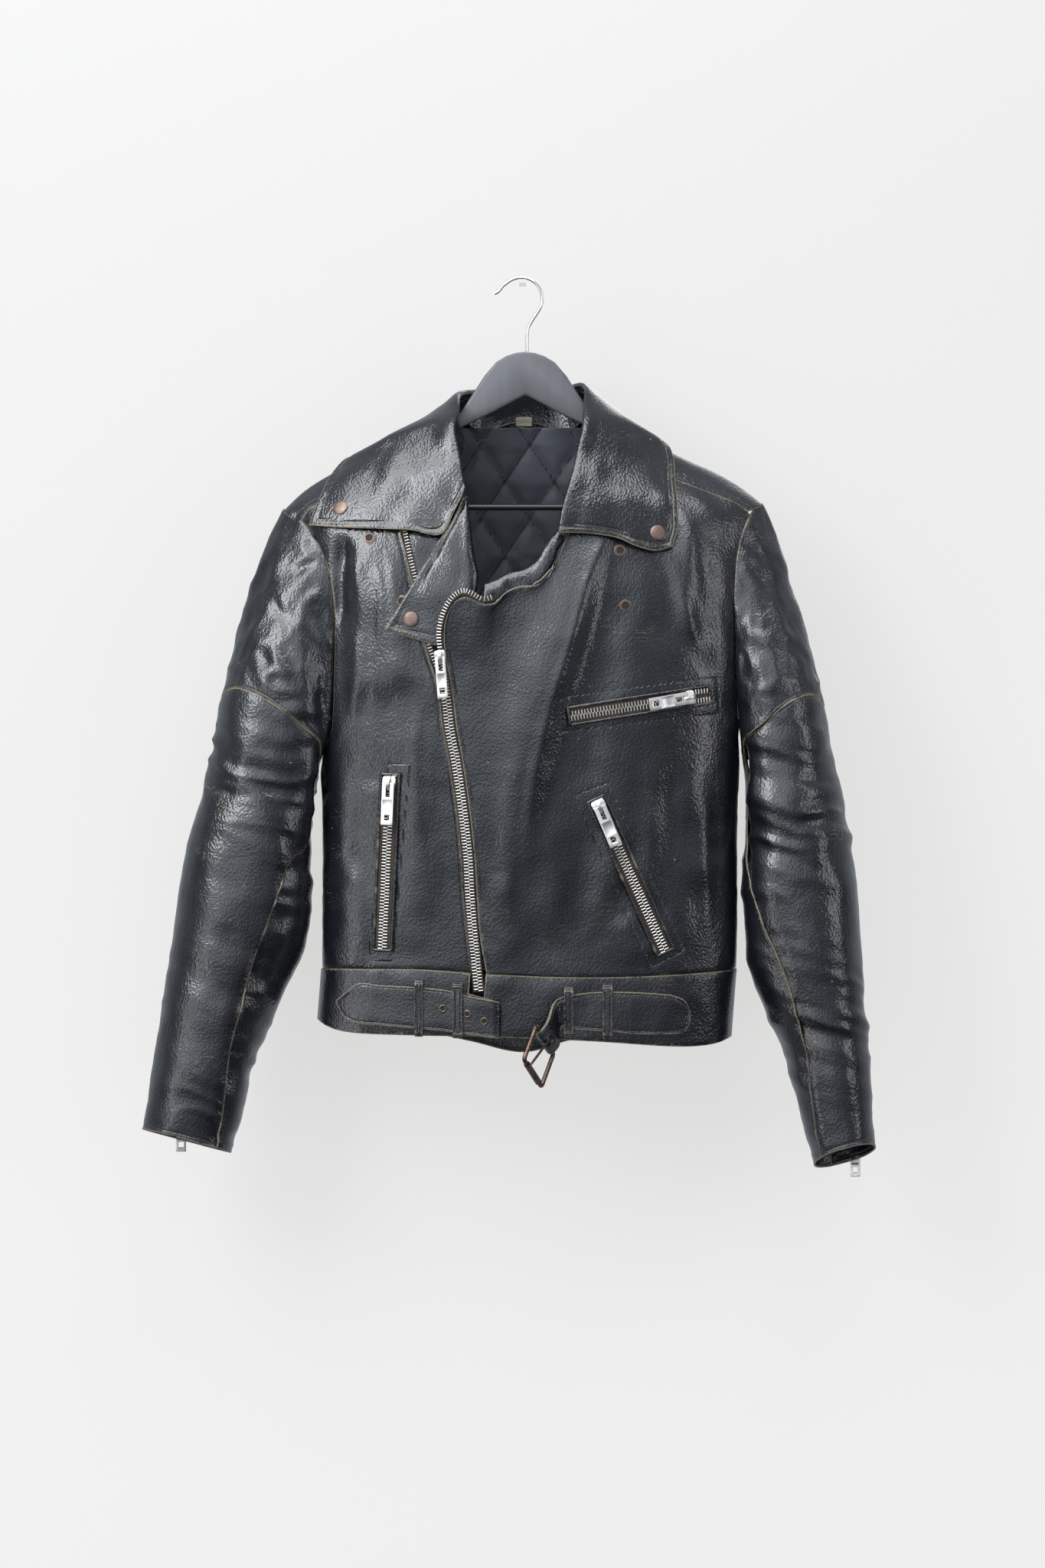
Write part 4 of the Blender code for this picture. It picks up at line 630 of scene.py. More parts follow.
def refine(grid, step, reach=(0, 0, 0, 0)):
    """The grid drawn smooth with cells of about `step` mm, and its borders (bottom, right,
    top, left) moved out by `reach`. Two more rows and columns lie close to each border."""
    grid = np.array(grid, float)
    for edge, inner, width in ((0, 1, reach[0]), (-1, -2, reach[2])):
        way = grid[edge] - grid[inner]
        grid[edge] += way / np.linalg.norm(way, axis=1)[:, None] * width
    for edge, inner, width in ((0, 1, reach[3]), (-1, -2, reach[1])):
        way = grid[:, edge] - grid[:, inner]
        grid[:, edge] += way / np.linalg.norm(way, axis=1)[:, None] * width
    for _ in range(2):
        chord = np.diff(grid, axis=0)
        length = np.linalg.norm(chord, axis=2, keepdims=True) + 1e-6
        slope = chord / length
        inner = (slope[:-1] * length[1:] + slope[1:] * length[:-1]) / (length[1:] + length[:-1])
        tangent = np.concatenate([slope[:1], inner, slope[-1:]])
        made = []
        for k in range(len(chord)):
            count = max(1, int(round(length[k].mean() / step)))
            shares = [j / count for j in range(count)]
            if k == 0:
                shares = [0, 0.9 / length[k].mean(), 2.0 / length[k].mean()] + shares[1:]
            if k == len(chord) - 1:
                shares += [1 - 2.0 / length[k].mean(), 1 - 0.9 / length[k].mean()]
            for t in sorted(s for s in shares if 0 <= s < 1):
                made.append(grid[k] * (2 * t ** 3 - 3 * t * t + 1)
                            + tangent[k] * length[k] * (t ** 3 - 2 * t * t + t)
                            + grid[k + 1] * (3 * t * t - 2 * t ** 3)
                            + tangent[k + 1] * length[k] * (t ** 3 - t * t))
        made.append(grid[-1])
        grid = np.array(made).swapaxes(0, 1)
    return grid


def normals_of(grid):
    along = np.gradient(grid, axis=0)
    across = np.gradient(grid, axis=1)
    normal = np.cross(across, along)
    return normal / (np.linalg.norm(normal, axis=2, keepdims=True) + 1e-9)


def border_distance(grid):
    """Distance in mm of each point to the bottom, right, top and left border."""
    up = np.linalg.norm(np.diff(grid, axis=0), axis=2)
    over = np.linalg.norm(np.diff(grid, axis=1), axis=2)
    up = np.concatenate([np.zeros((1, grid.shape[1])), np.cumsum(up, 0)])
    over = np.concatenate([np.zeros((grid.shape[0], 1)), np.cumsum(over, 1)], axis=1)
    return up, over[:, -1:] - over, up[-1:] - up, over


LATTICE = np.random.default_rng(48).random((32, 32, 32)) * 2 - 1


def waves(points, size, stretch=(1, 1, 1), seed=0.0):
    """Smooth noise from -1 to 1 at points in mm, with waves of about `size` mm."""
    p = points / size / np.array(stretch) + 7.31 * seed + 100
    cell = np.floor(p).astype(int)
    t = p - cell
    t = t * t * (3 - 2 * t)
    total = 0
    for i in (0, 1):
        for j in (0, 1):
            for k in (0, 1):
                share = (np.where(i, t[..., 0], 1 - t[..., 0]) * np.where(j, t[..., 1],
                         1 - t[..., 1]) * np.where(k, t[..., 2], 1 - t[..., 2]))
                total = total + share * LATTICE[(cell[..., 0] + i) % 32, (cell[..., 1] + j) % 32,
                                                (cell[..., 2] + k) % 32]
    return total


def near_line(points, line):
    """Distance in mm from points to a polyline, and how far along it, in mm."""
    flat = points.reshape(-1, points.shape[-1])
    best, run = np.full(len(flat), 1e9), np.zeros(len(flat))
    travelled = 0.0
    for a, b in zip(np.array(line[:-1], float), np.array(line[1:], float)):
        way = b - a
        length = np.linalg.norm(way)
        share = np.clip((flat - a) @ way / length ** 2, 0, 1)
        distance = np.linalg.norm(flat - a - share[:, None] * way, axis=1)
        closer = distance < best
        best = np.where(closer, distance, best)
        run = np.where(closer, travelled + share * length, run)
        travelled += length
    return best.reshape(points.shape[:-1]), run.reshape(points.shape[:-1]), travelled


def fold_height(grid, folds, back=False):
    """The height of folds given as (width, height, [(x, z), ...]) seen from one side."""
    seen = normals_of(grid)[..., 1] * (1 if back else -1)
    height = np.zeros(grid.shape[:2])
    flat = grid[..., [0, 2]]
    for width, rise, line in folds:
        distance, run, total = near_line(flat, line)
        ends = np.clip(np.minimum(run, total - run) / (0.28 * total), 0, 1)
        ends = ends * ends * (3 - 2 * ends)
        shape = np.exp(-(distance / width) ** 2) - 0.35 * np.exp(-((distance - 2 * width)
                                                                  / width) ** 2)
        height += rise * shape * ends
    return height * np.clip((seen - 0.05) * 3, 0, 1)


def give(made, name, values):
    """Store a number for each vertex."""
    attribute = made.data.attributes.new(name, "FLOAT", "POINT")
    attribute.data.foreach_set("value", np.asarray(values, np.float32).ravel())


def sheet_object(name, grid, thickness, marks, loose=False):
    """The mesh of a grid in mm with its marks, and a wall's thickness behind it."""
    rows, cols = grid.shape[:2]
    number = np.arange(rows * cols).reshape(rows, cols)
    faces = np.stack([number[:-1, :-1], number[:-1, 1:], number[1:, 1:], number[1:, :-1]],
                     -1).reshape(-1, 4)
    made = new_mesh(name, grid.reshape(-1, 3) * MM, faces.tolist())
    made.data.shade_smooth()
    for key, values in marks.items():
        give(made, key, values)
    if thickness:
        solid = made.modifiers.new("thickness", "SOLIDIFY")
        solid.thickness, solid.offset = thickness * MM, -1
    return made


FAR = 1e3
SEAM_GAP = 0.25     # how far a CAD wall stops short of its seam line, in mm


def eased(grid, radius, line, passes=160):
    """The grid with its bends smoothed away near a line (x, z)."""
    distance, _, _ = near_line(grid[..., [0, 2]], line)
    share = 0.9 * np.exp(-(distance / radius) ** 2) * (normals_of(grid)[..., 1] < -0.3)
    for _ in range(passes):
        mean = (grid[:-2, 1:-1] + grid[2:, 1:-1] + grid[1:-1, :-2] + grid[1:-1, 2:]) / 4
        part = share[1:-1, 1:-1, None]
        grid[1:-1, 1:-1] = grid[1:-1, 1:-1] * (1 - part) + mean * part
    return grid


def panel(name, grid, thickness=LEATHER, step=3.0, reach=(0, 0, 0, 0), seams=(1, 1, 1, 1),
          pucker=0.35, swell=0.55, folds=(), back_folds=(), ripple=0.5, stitches=(),
          seed=0, wide=55, extra=None, stitch_at=None, tuck=(0, 0, 0, 0), rubs=(), ease=None):
    """A sewn leather panel from its grid. Seams says which borders are sewn and roll in;
    stitches are lines (x, z) sewn through it and stitch_at a distance from the borders;
    tuck is the width in mm by which a border goes under its neighbour, and rubs are
    (radius, [(x, z), ...]) where the front is worn."""
    grid = refine(grid, step, [r + t for r, t in zip(reach, tuck)])
    if ease:
        grid = eased(grid, *ease)
    borders = border_distance(grid)
    far = np.minimum.reduce([d if s else d + FAR for d, s in zip(borders, seams)])
    edge = np.minimum.reduce(borders)
    which = np.argmin(np.stack(borders), axis=0)
    run = np.where((which == 0) | (which == 2), borders[3], borders[0])
    height = fold_height(grid, folds) + fold_height(grid, back_folds, back=True)
    calm = np.clip(edge / 16, 0, 1)
    height += waves(grid, wide, seed=seed) * ripple * calm
    height += waves(grid, wide * 0.4, seed=seed + 3) * ripple * 0.35 * calm
    dimple = waves(np.stack([run, which * 40.0, run * 0], -1), 7.5, seed=seed + 5)
    height += dimple * pucker * np.exp(-((far - 4) / 6) ** 2)
    height += swell * (1 - np.exp(-far / 5.0)) - swell
    height -= 0.75 * np.exp(-(far / 1.1) ** 2)
    for distance, width in zip(borders, tuck):
        if width:
            height -= 1.5 * np.sqrt(np.clip(1 - distance / width, 0, 1))
    if extra is not None:
        height += extra(grid, borders)
    stitch, along = np.full(edge.shape, 50.0), run.copy()
    if stitch_at:
        for d, at in zip(borders, stitch_at):
            for place in (at if isinstance(at, tuple) else (at,)):
                if place:
                    closer = np.abs(d - place) < stitch
                    stitch = np.where(closer, np.abs(d - place), stitch)
                    on_side = d is borders[0] or d is borders[2]
                    along = np.where(closer, borders[3] if on_side else borders[0], along)
    for line in stitches:
        distance, place, _ = near_line(grid[..., [0, 2]], line)
        distance = np.where(normals_of(grid)[..., 1] < 0, distance, 50)
        closer = distance < stitch
        stitch, along = np.where(closer, distance, stitch), np.where(closer, place, along)
    height -= 0.3 * np.exp(-(stitch / 1.6) ** 2)
    bent = grid + normals_of(grid) * height[..., None]
    crest = np.zeros(height.shape)
    for radius, line in rubs:
        distance, _, _ = near_line(grid[..., [0, 2]], line)
        distance = np.where(normals_of(grid)[..., 1] < 0.1, distance, 90)
        crest = np.maximum(crest, 1.5 * np.exp(-(distance / radius) ** 2))
    return sheet_object(name, bent, thickness, {"edge": edge, "stitch": stitch, "run": along,
                                                "crest": crest})


def round_edges(made, width):
    """The rim of a wall is rounded off, as worn cut leather is."""
    bevel = made.modifiers.new("rounded", "BEVEL")
    bevel.width, bevel.segments = width * MM, 2
    bevel.limit_method, bevel.angle_limit = "ANGLE", radians(60)
    bevel.harden_normals = False



# ---------------------------------------------------------------------------
# Fronts. The wearer's left front crosses over the right one to the zip; its open top
# hangs folded down. Both are one layer of leather with slanted zip pockets set in.
# ---------------------------------------------------------------------------

TORSO = (0, -10, -430)
CHEST_BOX = [(34, -398), (182, -378), (185, -412), (35, -430), (34, -398)]
RIGHT_BOX = [(-146, -645), (-128, -460), (-107, -462), (-124, -646), (-146, -645)]
LEFT_BOX = [(48, -490), (80, -478), (152, -636), (121, -652), (48, -490)]


def long_fold(grid, borders):
    """The fold that hangs from the collar's point: it rises slowly on the side of the
    zip and drops quickly on the other."""
    x, z = grid[..., 0], grid[..., 2]
    ridge = np.interp(z, (-640, -520, -468, -400, -340, -290, -250), (-2, 4, 11, 27, 45, 60, 74))
    off = (x - ridge) * 0.94 + waves(grid, 60, seed=9) * 1.5
    share = np.interp(z, (-645, -560, -490, -340, -252), (0, 0.22, 0.7, 1.0, 0.45))
    ahead = np.clip(-normals_of(grid)[..., 1] * 3, 0, 1)
    slope = 9.5 * np.exp(-(off / np.where(off < 0, 38, 12)) ** 2)
    return (slope + 1.5 * np.exp(-((off + 1) / 4.5) ** 2)) * share * ahead


front_left_grid = turn_up(find_skin("front_left", 14, 21, TORSO))
front_left = panel("front_left_leather", front_left_grid, step=2.6, reach=(0.3, 0.9, 0.9, 0.6),
                   tuck=(3, 0, 0, 0),
                   stitches=[CHEST_BOX, LEFT_BOX], stitch_at=(None, None, None, (4.0,)),
                   seams=(1, 1, 1, 0), seed=1, ripple=0.8, wide=60, extra=long_fold,
                   ease=(36, [(60, -262), (38, -340), (8, -468), (-4, -600)]),
                   folds=[(16, 2.0, [(12, -500), (30, -560), (24, -640)]),
                          (12, 1.8, [(-22, -560), (-14, -610), (-12, -650)]),
                          (14, 2.0, [(90, -600), (108, -632), (130, -640)]),
                          (12, 1.6, [(60, -620), (84, -560), (92, -500)]),
                          (16, 1.8, [(120, -265), (104, -320), (84, -372)]),
                          (14, 2.0, [(160, -225), (156, -300), (166, -370)]),
                          (10, 1.3, [(183, -230), (185, -310), (190, -400)]),
                          (9, 1.1, [(128, -450), (120, -520), (112, -600)]),
                          (13, 2.2, [(158, -455), (164, -520), (170, -590)]),
                          (8, 1.0, [(-4, -420), (-14, -500), (-18, -620)]),
                          (6, 0.9, [(170, -470), (172, -560), (176, -640)]),
                          (9, 0.7, [(-4, -470), (-8, -540), (-14, -600)])])
front_right_grid = turn_up(find_skin("front_right", 18, 7, TORSO))
front_right = panel("front_right_leather", front_right_grid, step=2.6,
                    reach=(0.3, 0.9, 0.9, 0.6), stitches=[RIGHT_BOX], seams=(1, 0, 1, 1),
                    stitch_at=(None, (4.0,), None, None), seed=2, ripple=1.7, wide=48,
                    tuck=(3, 0, 0, 0),
                    folds=[(6, 1.8, [(-160, -318), (-158, -370), (-162, -430)]),
                           (13, 2.6, [(-128, -250), (-122, -320), (-118, -400)]),
                           (14, 2.2, [(-112, -420), (-100, -500), (-98, -640)]),
                           (9, 1.6, [(-172, -440), (-170, -540), (-166, -640)]),
                           (4, 0.7, [(-140, -262), (-134, -300), (-136, -352)]),
                           (6, -1.8, [(-168, -240), (-172, -290), (-176, -345)]),
                           (6, 1.2, [(-160, -550), (-154, -590), (-150, -640)]),
                           (5, 0.8, [(-100, -400), (-104, -480), (-96, -560)])])
for made, nodes_for in ((front_left, "front_left"), (front_right, "front_right")):
    dress(made, leather, "jacket", nodes_for, slot="leather")

# ---------------------------------------------------------------------------
# Back, yokes, waistband. Single leather; the waistband is folded double and sewn
# to the panels' lower edge with its seam turned in.
# ---------------------------------------------------------------------------

back_grid = turn_up(find_skin("back", 14, 18, TORSO))
back = panel("back_leather", back_grid, step=3.4, reach=(0.3, 2.2, 1.2, 2.2), seed=4,
             tuck=(3, 0, 0, 0),
             back_folds=[(12, 2.0, [(-150, -260), (-90, -300), (-20, -310)]),
                         (12, 2.0, [(150, -250), (90, -300), (20, -310)]),
                         (9, 1.2, [(-170, -420), (-150, -520), (-160, -620)]),
                         (9, 1.2, [(172, -420), (150, -520), (165, -620)]),
                         (8, 1.0, [(-60, -560), (0, -590), (70, -570)]),
                         (7, 0.9, [(-80, -622), (0, -632), (90, -624)])], ripple=0.9)
dress(back, leather, "jacket", "back", slot="leather")
for side, name in ((1, "left"), (-1, "right")):
    grid = turn_up(find_skin("yoke_" + name, 6, 7, TORSO))
    yoke = panel("yoke_" + name + "_leather", grid, step=2.6, reach=(1.3, 3.0, 1.3, 4.0),
                 seed=5 + side, stitch_at=((2.5, 8.5), None, None, None), ripple=0.5)
    dress(yoke, leather, "jacket", "yoke_" + name, slot="leather")
band_leather = leather_finish("band_leather", 1.3, 0.36, tuple(c * 0.8 for c in BLACK), 0.6)
grid = turn_up(find_skin("waistband_back", 3, 18, TORSO))
band = panel("waistband_back_leather", grid, 2.6, 2.6, (0.3, 1.0, 0.3, 1.0), (0, 1, 1, 1),
             seed=7, stitch_at=((3.0,), None, (2.6,), None))
dress(band, band_leather, "jacket", "waistband_back", slot="leather")


def shell(node, name, finish, slot, levels=2, stitch_gap=2.2, round_by=0.5, body="jacket",
          wear_reach=1.0):
    """A whole CAD wall taken as it is: merged, made smooth between its sharp edges, and
    these rounded. Wear and stitches follow the sharp edges."""
    made = copy_of(node, name)
    bpy.ops.object.select_all(action="DESELECT")
    bpy.context.view_layer.objects.active = made
    made.select_set(True)
    bpy.ops.object.mode_set(mode="EDIT")
    bpy.ops.mesh.select_all(action="SELECT")
    bpy.ops.mesh.tris_convert_to_quads(face_threshold=radians(60), shape_threshold=radians(60))
    bpy.ops.object.mode_set(mode="OBJECT")
    creases = made.data.attributes.new("crease_edge", "FLOAT", "EDGE")
    shape = bmesh.new()
    shape.from_mesh(made.data)
    sharp, border = [], []
    for e in shape.edges:
        hard = len(e.link_faces) == 2 and e.calc_face_angle(0) > radians(50)
        sharp.append(1.0 if hard else 0.0)
        if hard:
            count = max(1, int(e.calc_length() / MM))
            border += [e.verts[0].co.lerp(e.verts[1].co, k / count) for k in range(count)]
    shape.free()
    creases.data.foreach_set("value", sharp)
    round_off = made.modifiers.new("round", "SUBSURF")
    round_off.levels = round_off.render_levels = levels
    bpy.ops.object.modifier_apply(modifier="round")
    made.data.shade_smooth()
    tree = KDTree(len(border))
    for k, point in enumerate(border):
        tree.insert(point, k)
    tree.balance()
    edge = np.array([tree.find(v.co)[2] / MM for v in made.data.vertices])
    run = np.array([v.co.x + v.co.z for v in made.data.vertices]) / MM
    give(made, "edge", edge * wear_reach)
    give(made, "stitch", np.abs(edge - stitch_gap))
    give(made, "run", run)
    made.select_set(False)
    if round_by:
        round_edges(made, round_by)
    return dress(made, finish, body, node, slot=slot)


for side, flat, area in (("left", (0.252, 0.075), 0.0173), ("right", (0.160, 0.068), 0.0105)):
    made = shell("waistband_" + side, "waistband_" + side + "_leather", band_leather, "leather")
    "front_" + side + "_leather"

# ---------------------------------------------------------------------------
# Sleeves. Each has a cap over the shoulder, a wide outer panel and a narrow one under
# the arm, sewn along two long seams; the leather hangs in many soft cross folds.
# ---------------------------------------------------------------------------


def sleeve_core(side):
    return (side * 262, -24, -430)


def cross_folds(low, high, seed):
    """The cross wrinkles of a hanging sleeve, as heights over the points."""
    def heights(grid, borders):
        bend = waves(grid, 46, (1, 1, 1.7), seed) * 9
        place = grid.copy()
        place[..., 2] += bend + grid[..., 0] * 0.22
        fine = waves(place, 17, (4.2, 4.2, 1), seed + 1)
        broad = waves(place, 34, (3.4, 3.4, 1), seed + 2)
        share = np.clip((grid[..., 2] - low) / 60, 0, 1) * np.clip((high - grid[..., 2]) / 40, 0, 1)
        patch = np.clip(waves(grid, 90, seed=seed + 4) + 0.75, 0.15, 1.4)
        small = waves(place, 10.5, (4.6, 4.6, 1), seed + 6)
        return (np.abs(broad) * -3.2 - np.abs(fine) * 3.0 + small * 1.3) * share * patch
    return heights


def crumple(rise, size, seed):
    """Creases with soft pillows between them, away from the seams."""
    def heights(grid, borders):
        calm = np.clip(np.minimum.reduce(borders) / 14, 0, 1)
        crease = np.abs(waves(grid, size, (1.3, 1.3, 1), seed))
        small = np.abs(waves(grid, size * 0.55, (1, 1, 1.3), seed + 1))
        return (0.35 - crease - small * 0.35) * rise * calm
    return heights


for side, name in ((1, "left"), (-1, "right")):
    core = sleeve_core(side)
    grid = turn_up(find_skin("sleeve_outer_" + name, 13, 16, core), core=core)
    made = panel("sleeve_outer_" + name + "_leather", grid, step=2.1,
                 reach=(0.6, 1.0, 0.35, 1.0), seams=(0, 1, 1, 1), seed=10 + side,
                 ripple=1.0, wide=70, stitch_at=((4.0,), None, (3.0,), None),
                 extra=cross_folds(-860, -400, 20 + side),
                 rubs=[(9, [(-247, -735), (-264, -748), (-279, -756)]),
                       (5, [(-300, -480), (-286, -500), (-275, -520)]),
                       (4, [(-308, -540), (-290, -560)])] if side < 0 else
                 [(10, [(262, -690), (270, -712), (274, -735)]),
                  (5, [(262, -480), (280, -500), (300, -528)])])
    dress(made, sleeve_leather, "jacket", "sleeve_outer_" + name, slot="leather")
    grid = turn_up(find_skin("sleeve_inner_" + name, 14, 5, core), core=core)
    made = panel("sleeve_inner_" + name + "_leather", grid, step=2.6,
                 reach=(0.7, 1.0, 0.35, 1.0), seams=(0, 1, 1, 1), seed=13 + side,
                 ripple=0.8, stitch_at=((4.0,), None, None, None),
                 extra=cross_folds(-860, -430, 30 + side))
    dress(made, sleeve_leather, "jacket", "sleeve_inner_" + name, slot="leather")
    cap_core = (side * 228, -22, -330)
    grid = turn_up(find_skin("sleeve_cap_" + name, 5, 16, cap_core), core=cap_core)
    folds = [(4, -1.6, [(-218, -280), (-206, -272), (-193, -266)]),
             (4, 1.4, [(-206, -304), (-190, -297)]), (5, 1.6, [(-202, -320), (-178, -355)]),
             (5, 1.5, [(-242, -346), (-220, -382)]), (6, 1.3, [(-232, -408), (-184, -414)]),
             (4, -1.2, [(-240, -300), (-222, -330)]), (5, 1.1, [(-268, -360), (-238, -388)]),
             (4, 1.3, [(-262, -352), (-246, -372), (-226, -376)]),
             (4, 1.2, [(-250, -378), (-232, -392), (-205, -398)])]
    if side > 0:
        folds = [(5, 1.4, [(206, -270), (226, -300)]), (5, 1.5, [(204, -330), (238, -352)]),
                 (5, 1.3, [(232, -300), (256, -350)]), (6, 1.4, [(206, -396), (250, -384)]),
                 (4, -1.2, [(212, -250), (232, -270)])]
    made = panel("sleeve_cap_" + name + "_leather", grid, step=2.6,
                 reach=(0.7, 0.6, 3.0, 0.6), seed=16 + side, ripple=1.0, folds=folds, wide=34,
                 stitch_at=((3.0,), None, None, None), extra=crumple(3.0, 21, 40 + side))
    dress(made, sleeve_leather, "jacket", "sleeve_cap_" + name, slot="leather")

# ---------------------------------------------------------------------------
# Lining of the back: black satin quilted in tall diamonds, sewn in at the neck.
# ---------------------------------------------------------------------------

satin = Finish("quilted_satin", (0.04, 0.042, 0.050), 0.36, Specular_IOR_Level=0.5,
               Sheen_Weight=0.25, Sheen_Roughness=0.4)
quilt_line = satin.attribute("stitch")
weave = satin.noise(900, 2, 0.5, satin.scaled((0.25, 1, 2)))
satin.put("Base Color", satin.mix(quilt_line.step(1.6, 0.3), (0.078, 0.084, 0.102),
                                  (0.008, 0.008, 0.010)))
satin.put("Roughness", weave * 0.14 + 0.32)
satin.put("Normal", satin.bump(weave, 0.00025, 0.5, satin.bump(satin.noise(120, 4), 0.001, 0.4)))

lining_grid = find_skin("lining_back", 14, 18, (0, 400, -430))
lining_grid = turn_up(lining_grid, core=(0, 400, -430))
grid = refine(lining_grid, 3.0, (3, 12, 2, 12))
top_gap = border_distance(grid)[2]
lift = np.clip(-140.5 - grid[-1, :, 2], 0, 40) * (np.abs(grid[-1, :, 0]) < 75)
grid[..., 2] += lift[None, :] * np.clip(1 - top_gap / 45, 0, 1)
u = (grid[..., 0] - 6) / 47 + (grid[..., 2] + 157) / 70
v = (grid[..., 0] - 6) / 47 - (grid[..., 2] + 157) / 70
line_gap = np.minimum(np.abs(u - np.round(u)), np.abs(v - np.round(v))) * 39
puff = 3.0 * (1 - np.exp(-line_gap / 6)) - 1.4 + 0.35 * waves(grid, 9, (1.2, 1, 0.8), 3)
bent = grid + normals_of(grid) * puff[..., None]
lining = sheet_object("quilted_lining", bent, 1.0, {"stitch": line_gap})
dress(lining, satin, "jacket", "lining_back", slot="lining")
facing_grid = turn_up(find_skin("facing_left", 8, 3, (-40, -40, -330)), core=(-40, -40, -330))
made = panel("facing_left_leather", facing_grid, 1.2, 2.0, seed=21, ripple=0.9, wide=24,
             swell=0.2, pucker=0.6)
dress(made, inner_leather, "jacket", "facing_left", slot="leather")
tab = shell("neck_tab", "neck_tab_leather", inner_leather, "label")

# ---------------------------------------------------------------------------
# Collar and lapel. Two layers of leather pressed and edge-stitched; the collar's
# leaves and the lapel lie folded over the fronts, with snaps at their corners.
# ---------------------------------------------------------------------------



def outward(grid, core):
    middle = (grid[1:, 1:] - np.array(core, float))
    normal = np.cross(grid[1:, 1:] - grid[:-1, :-1], grid[1:, :-1] - grid[:-1, 1:])
    return grid if (middle * normal).sum() > 0 else grid[:, ::-1]


def leaf(name, rows, thickness, step, core, finish, edge_sides, stitch_gap, node, ripple=0.5,
         seed=0.0, extra=None, piping=None):
    """A double layer with a stitched edge. Edge_sides says which borders are free."""
    grid = outward(refine(np.array(rows, float), step, (SEAM_GAP,) * 4), core)
    if (outward(np.array(rows, float), core) != np.array(rows, float)).any():
        edge_sides = (edge_sides[0], edge_sides[3], edge_sides[2], edge_sides[1])
    borders = border_distance(grid)
    free = np.minimum.reduce([d if s else d + FAR for d, s in zip(borders, edge_sides)])
    edge = np.minimum.reduce(borders)
    if piping:
        edge = np.minimum(edge, np.abs(free - piping) + 0.55)
    which = np.argmin(np.stack([d if s else d + FAR for d, s in zip(borders, edge_sides)]), 0)
    run = np.where((which == 0) | (which == 2), borders[3], borders[0])
    calm = np.clip(free / 14, 0, 1)
    height = waves(grid, 38, seed=seed) * ripple * calm + waves(grid, 15, seed=seed + 2) * 0.2
    height += waves(grid, 16, (1, 1, 3.2), seed + 6) * ripple * 1.1 * calm
    stitch = np.abs(free - stitch_gap)
    height -= 0.55 * np.exp(-(stitch / 1.7) ** 2)
    rib = waves(np.stack([run, which * 40.0, run * 0], -1), 5.5, seed=seed + 4)
    height += 0.35 * rib * np.exp(-((free - stitch_gap * 0.5) / 3.2) ** 2)
    height -= 0.8 * np.exp(-(free / 0.9) ** 2)
    if piping:
        height -= 0.4 * np.exp(-((free - piping) / 0.9) ** 2)
    if extra is not None:
        height += extra(grid, borders)
    bent = grid + normals_of(grid) * height[..., None]
    made = sheet_object(name, bent, thickness, {"edge": edge, "stitch": stitch, "run": run,
                                                "crest": height * 0})
    round_edges(made, 0.7)
    return dress(made, finish, "jacket", node, slot="leather")


collar_leather = leather_finish("collar_leather", 1.25, 0.30, lumps=0.6)
# The CAD collar has a finer grid than the leather needs: every second row of it is used.
fall_grid = find_skin("collar_fall", 28, 8, (0, 10, -190), 1.8)[::2, ::-1]
stand_grid = find_skin("collar_stand", 28, 2, (0, 300, -190), 1.6)[::2, ::-1]
lapel_grid = find_skin("lapel_right", 7, 9, (-60, -500, -290))[:, ::-1]
collar = leaf("collar_leather_fall", fall_grid, 1.8, 2.4, (0, 10, -190), collar_leather,
              (1, 1, 1, 0), 8.0, "collar_fall", 0.8, seed=3.0, piping=4.6)
stand = leaf("collar_leather_stand", stand_grid, 2.4, 2.4, (0, -300, -190), inner_leather,
             (0, 0, 0, 0), 500.0, "collar_stand", 0.2, seed=4.0)
lapel = leaf("lapel_leather", lapel_grid, 1.8, 2.2, (-60, -20, -290), collar_leather,
             (1, 1, 0, 0), 8.0, "lapel_right", 0.7, seed=5.0, piping=4.4)

# ---------------------------------------------------------------------------
# Belt: two stitched double straps in leather loops on the waistband. The right one
# has three eyelets and is folded at its end; the left one holds the buckle.
# ---------------------------------------------------------------------------



# The left strap from its round sewn end to the buckle's bar: x, top and bottom
LEFT_STRAP = [(158, -694, -704), (153, -684, -713), (143, -679, -715), (128, -677, -715.5),
              (105, -675.5, -715), (84, -675, -713), (60, -676, -711.5), (46, -678, -710.5),
              (37, -679.5, -710)]
STRAP_ACROSS = (-1, -0.62, -0.26, 0.26, 0.62, 1)
BAR_TOP, BAR_FOOT = Vector((12, -99, -707)), Vector((28.5, -69, -733.5))
STRAP_TURN = 5.2         # outer radius of the strap's turn round the buckle's bar
TURN_HALF_WIDTH = 16.5


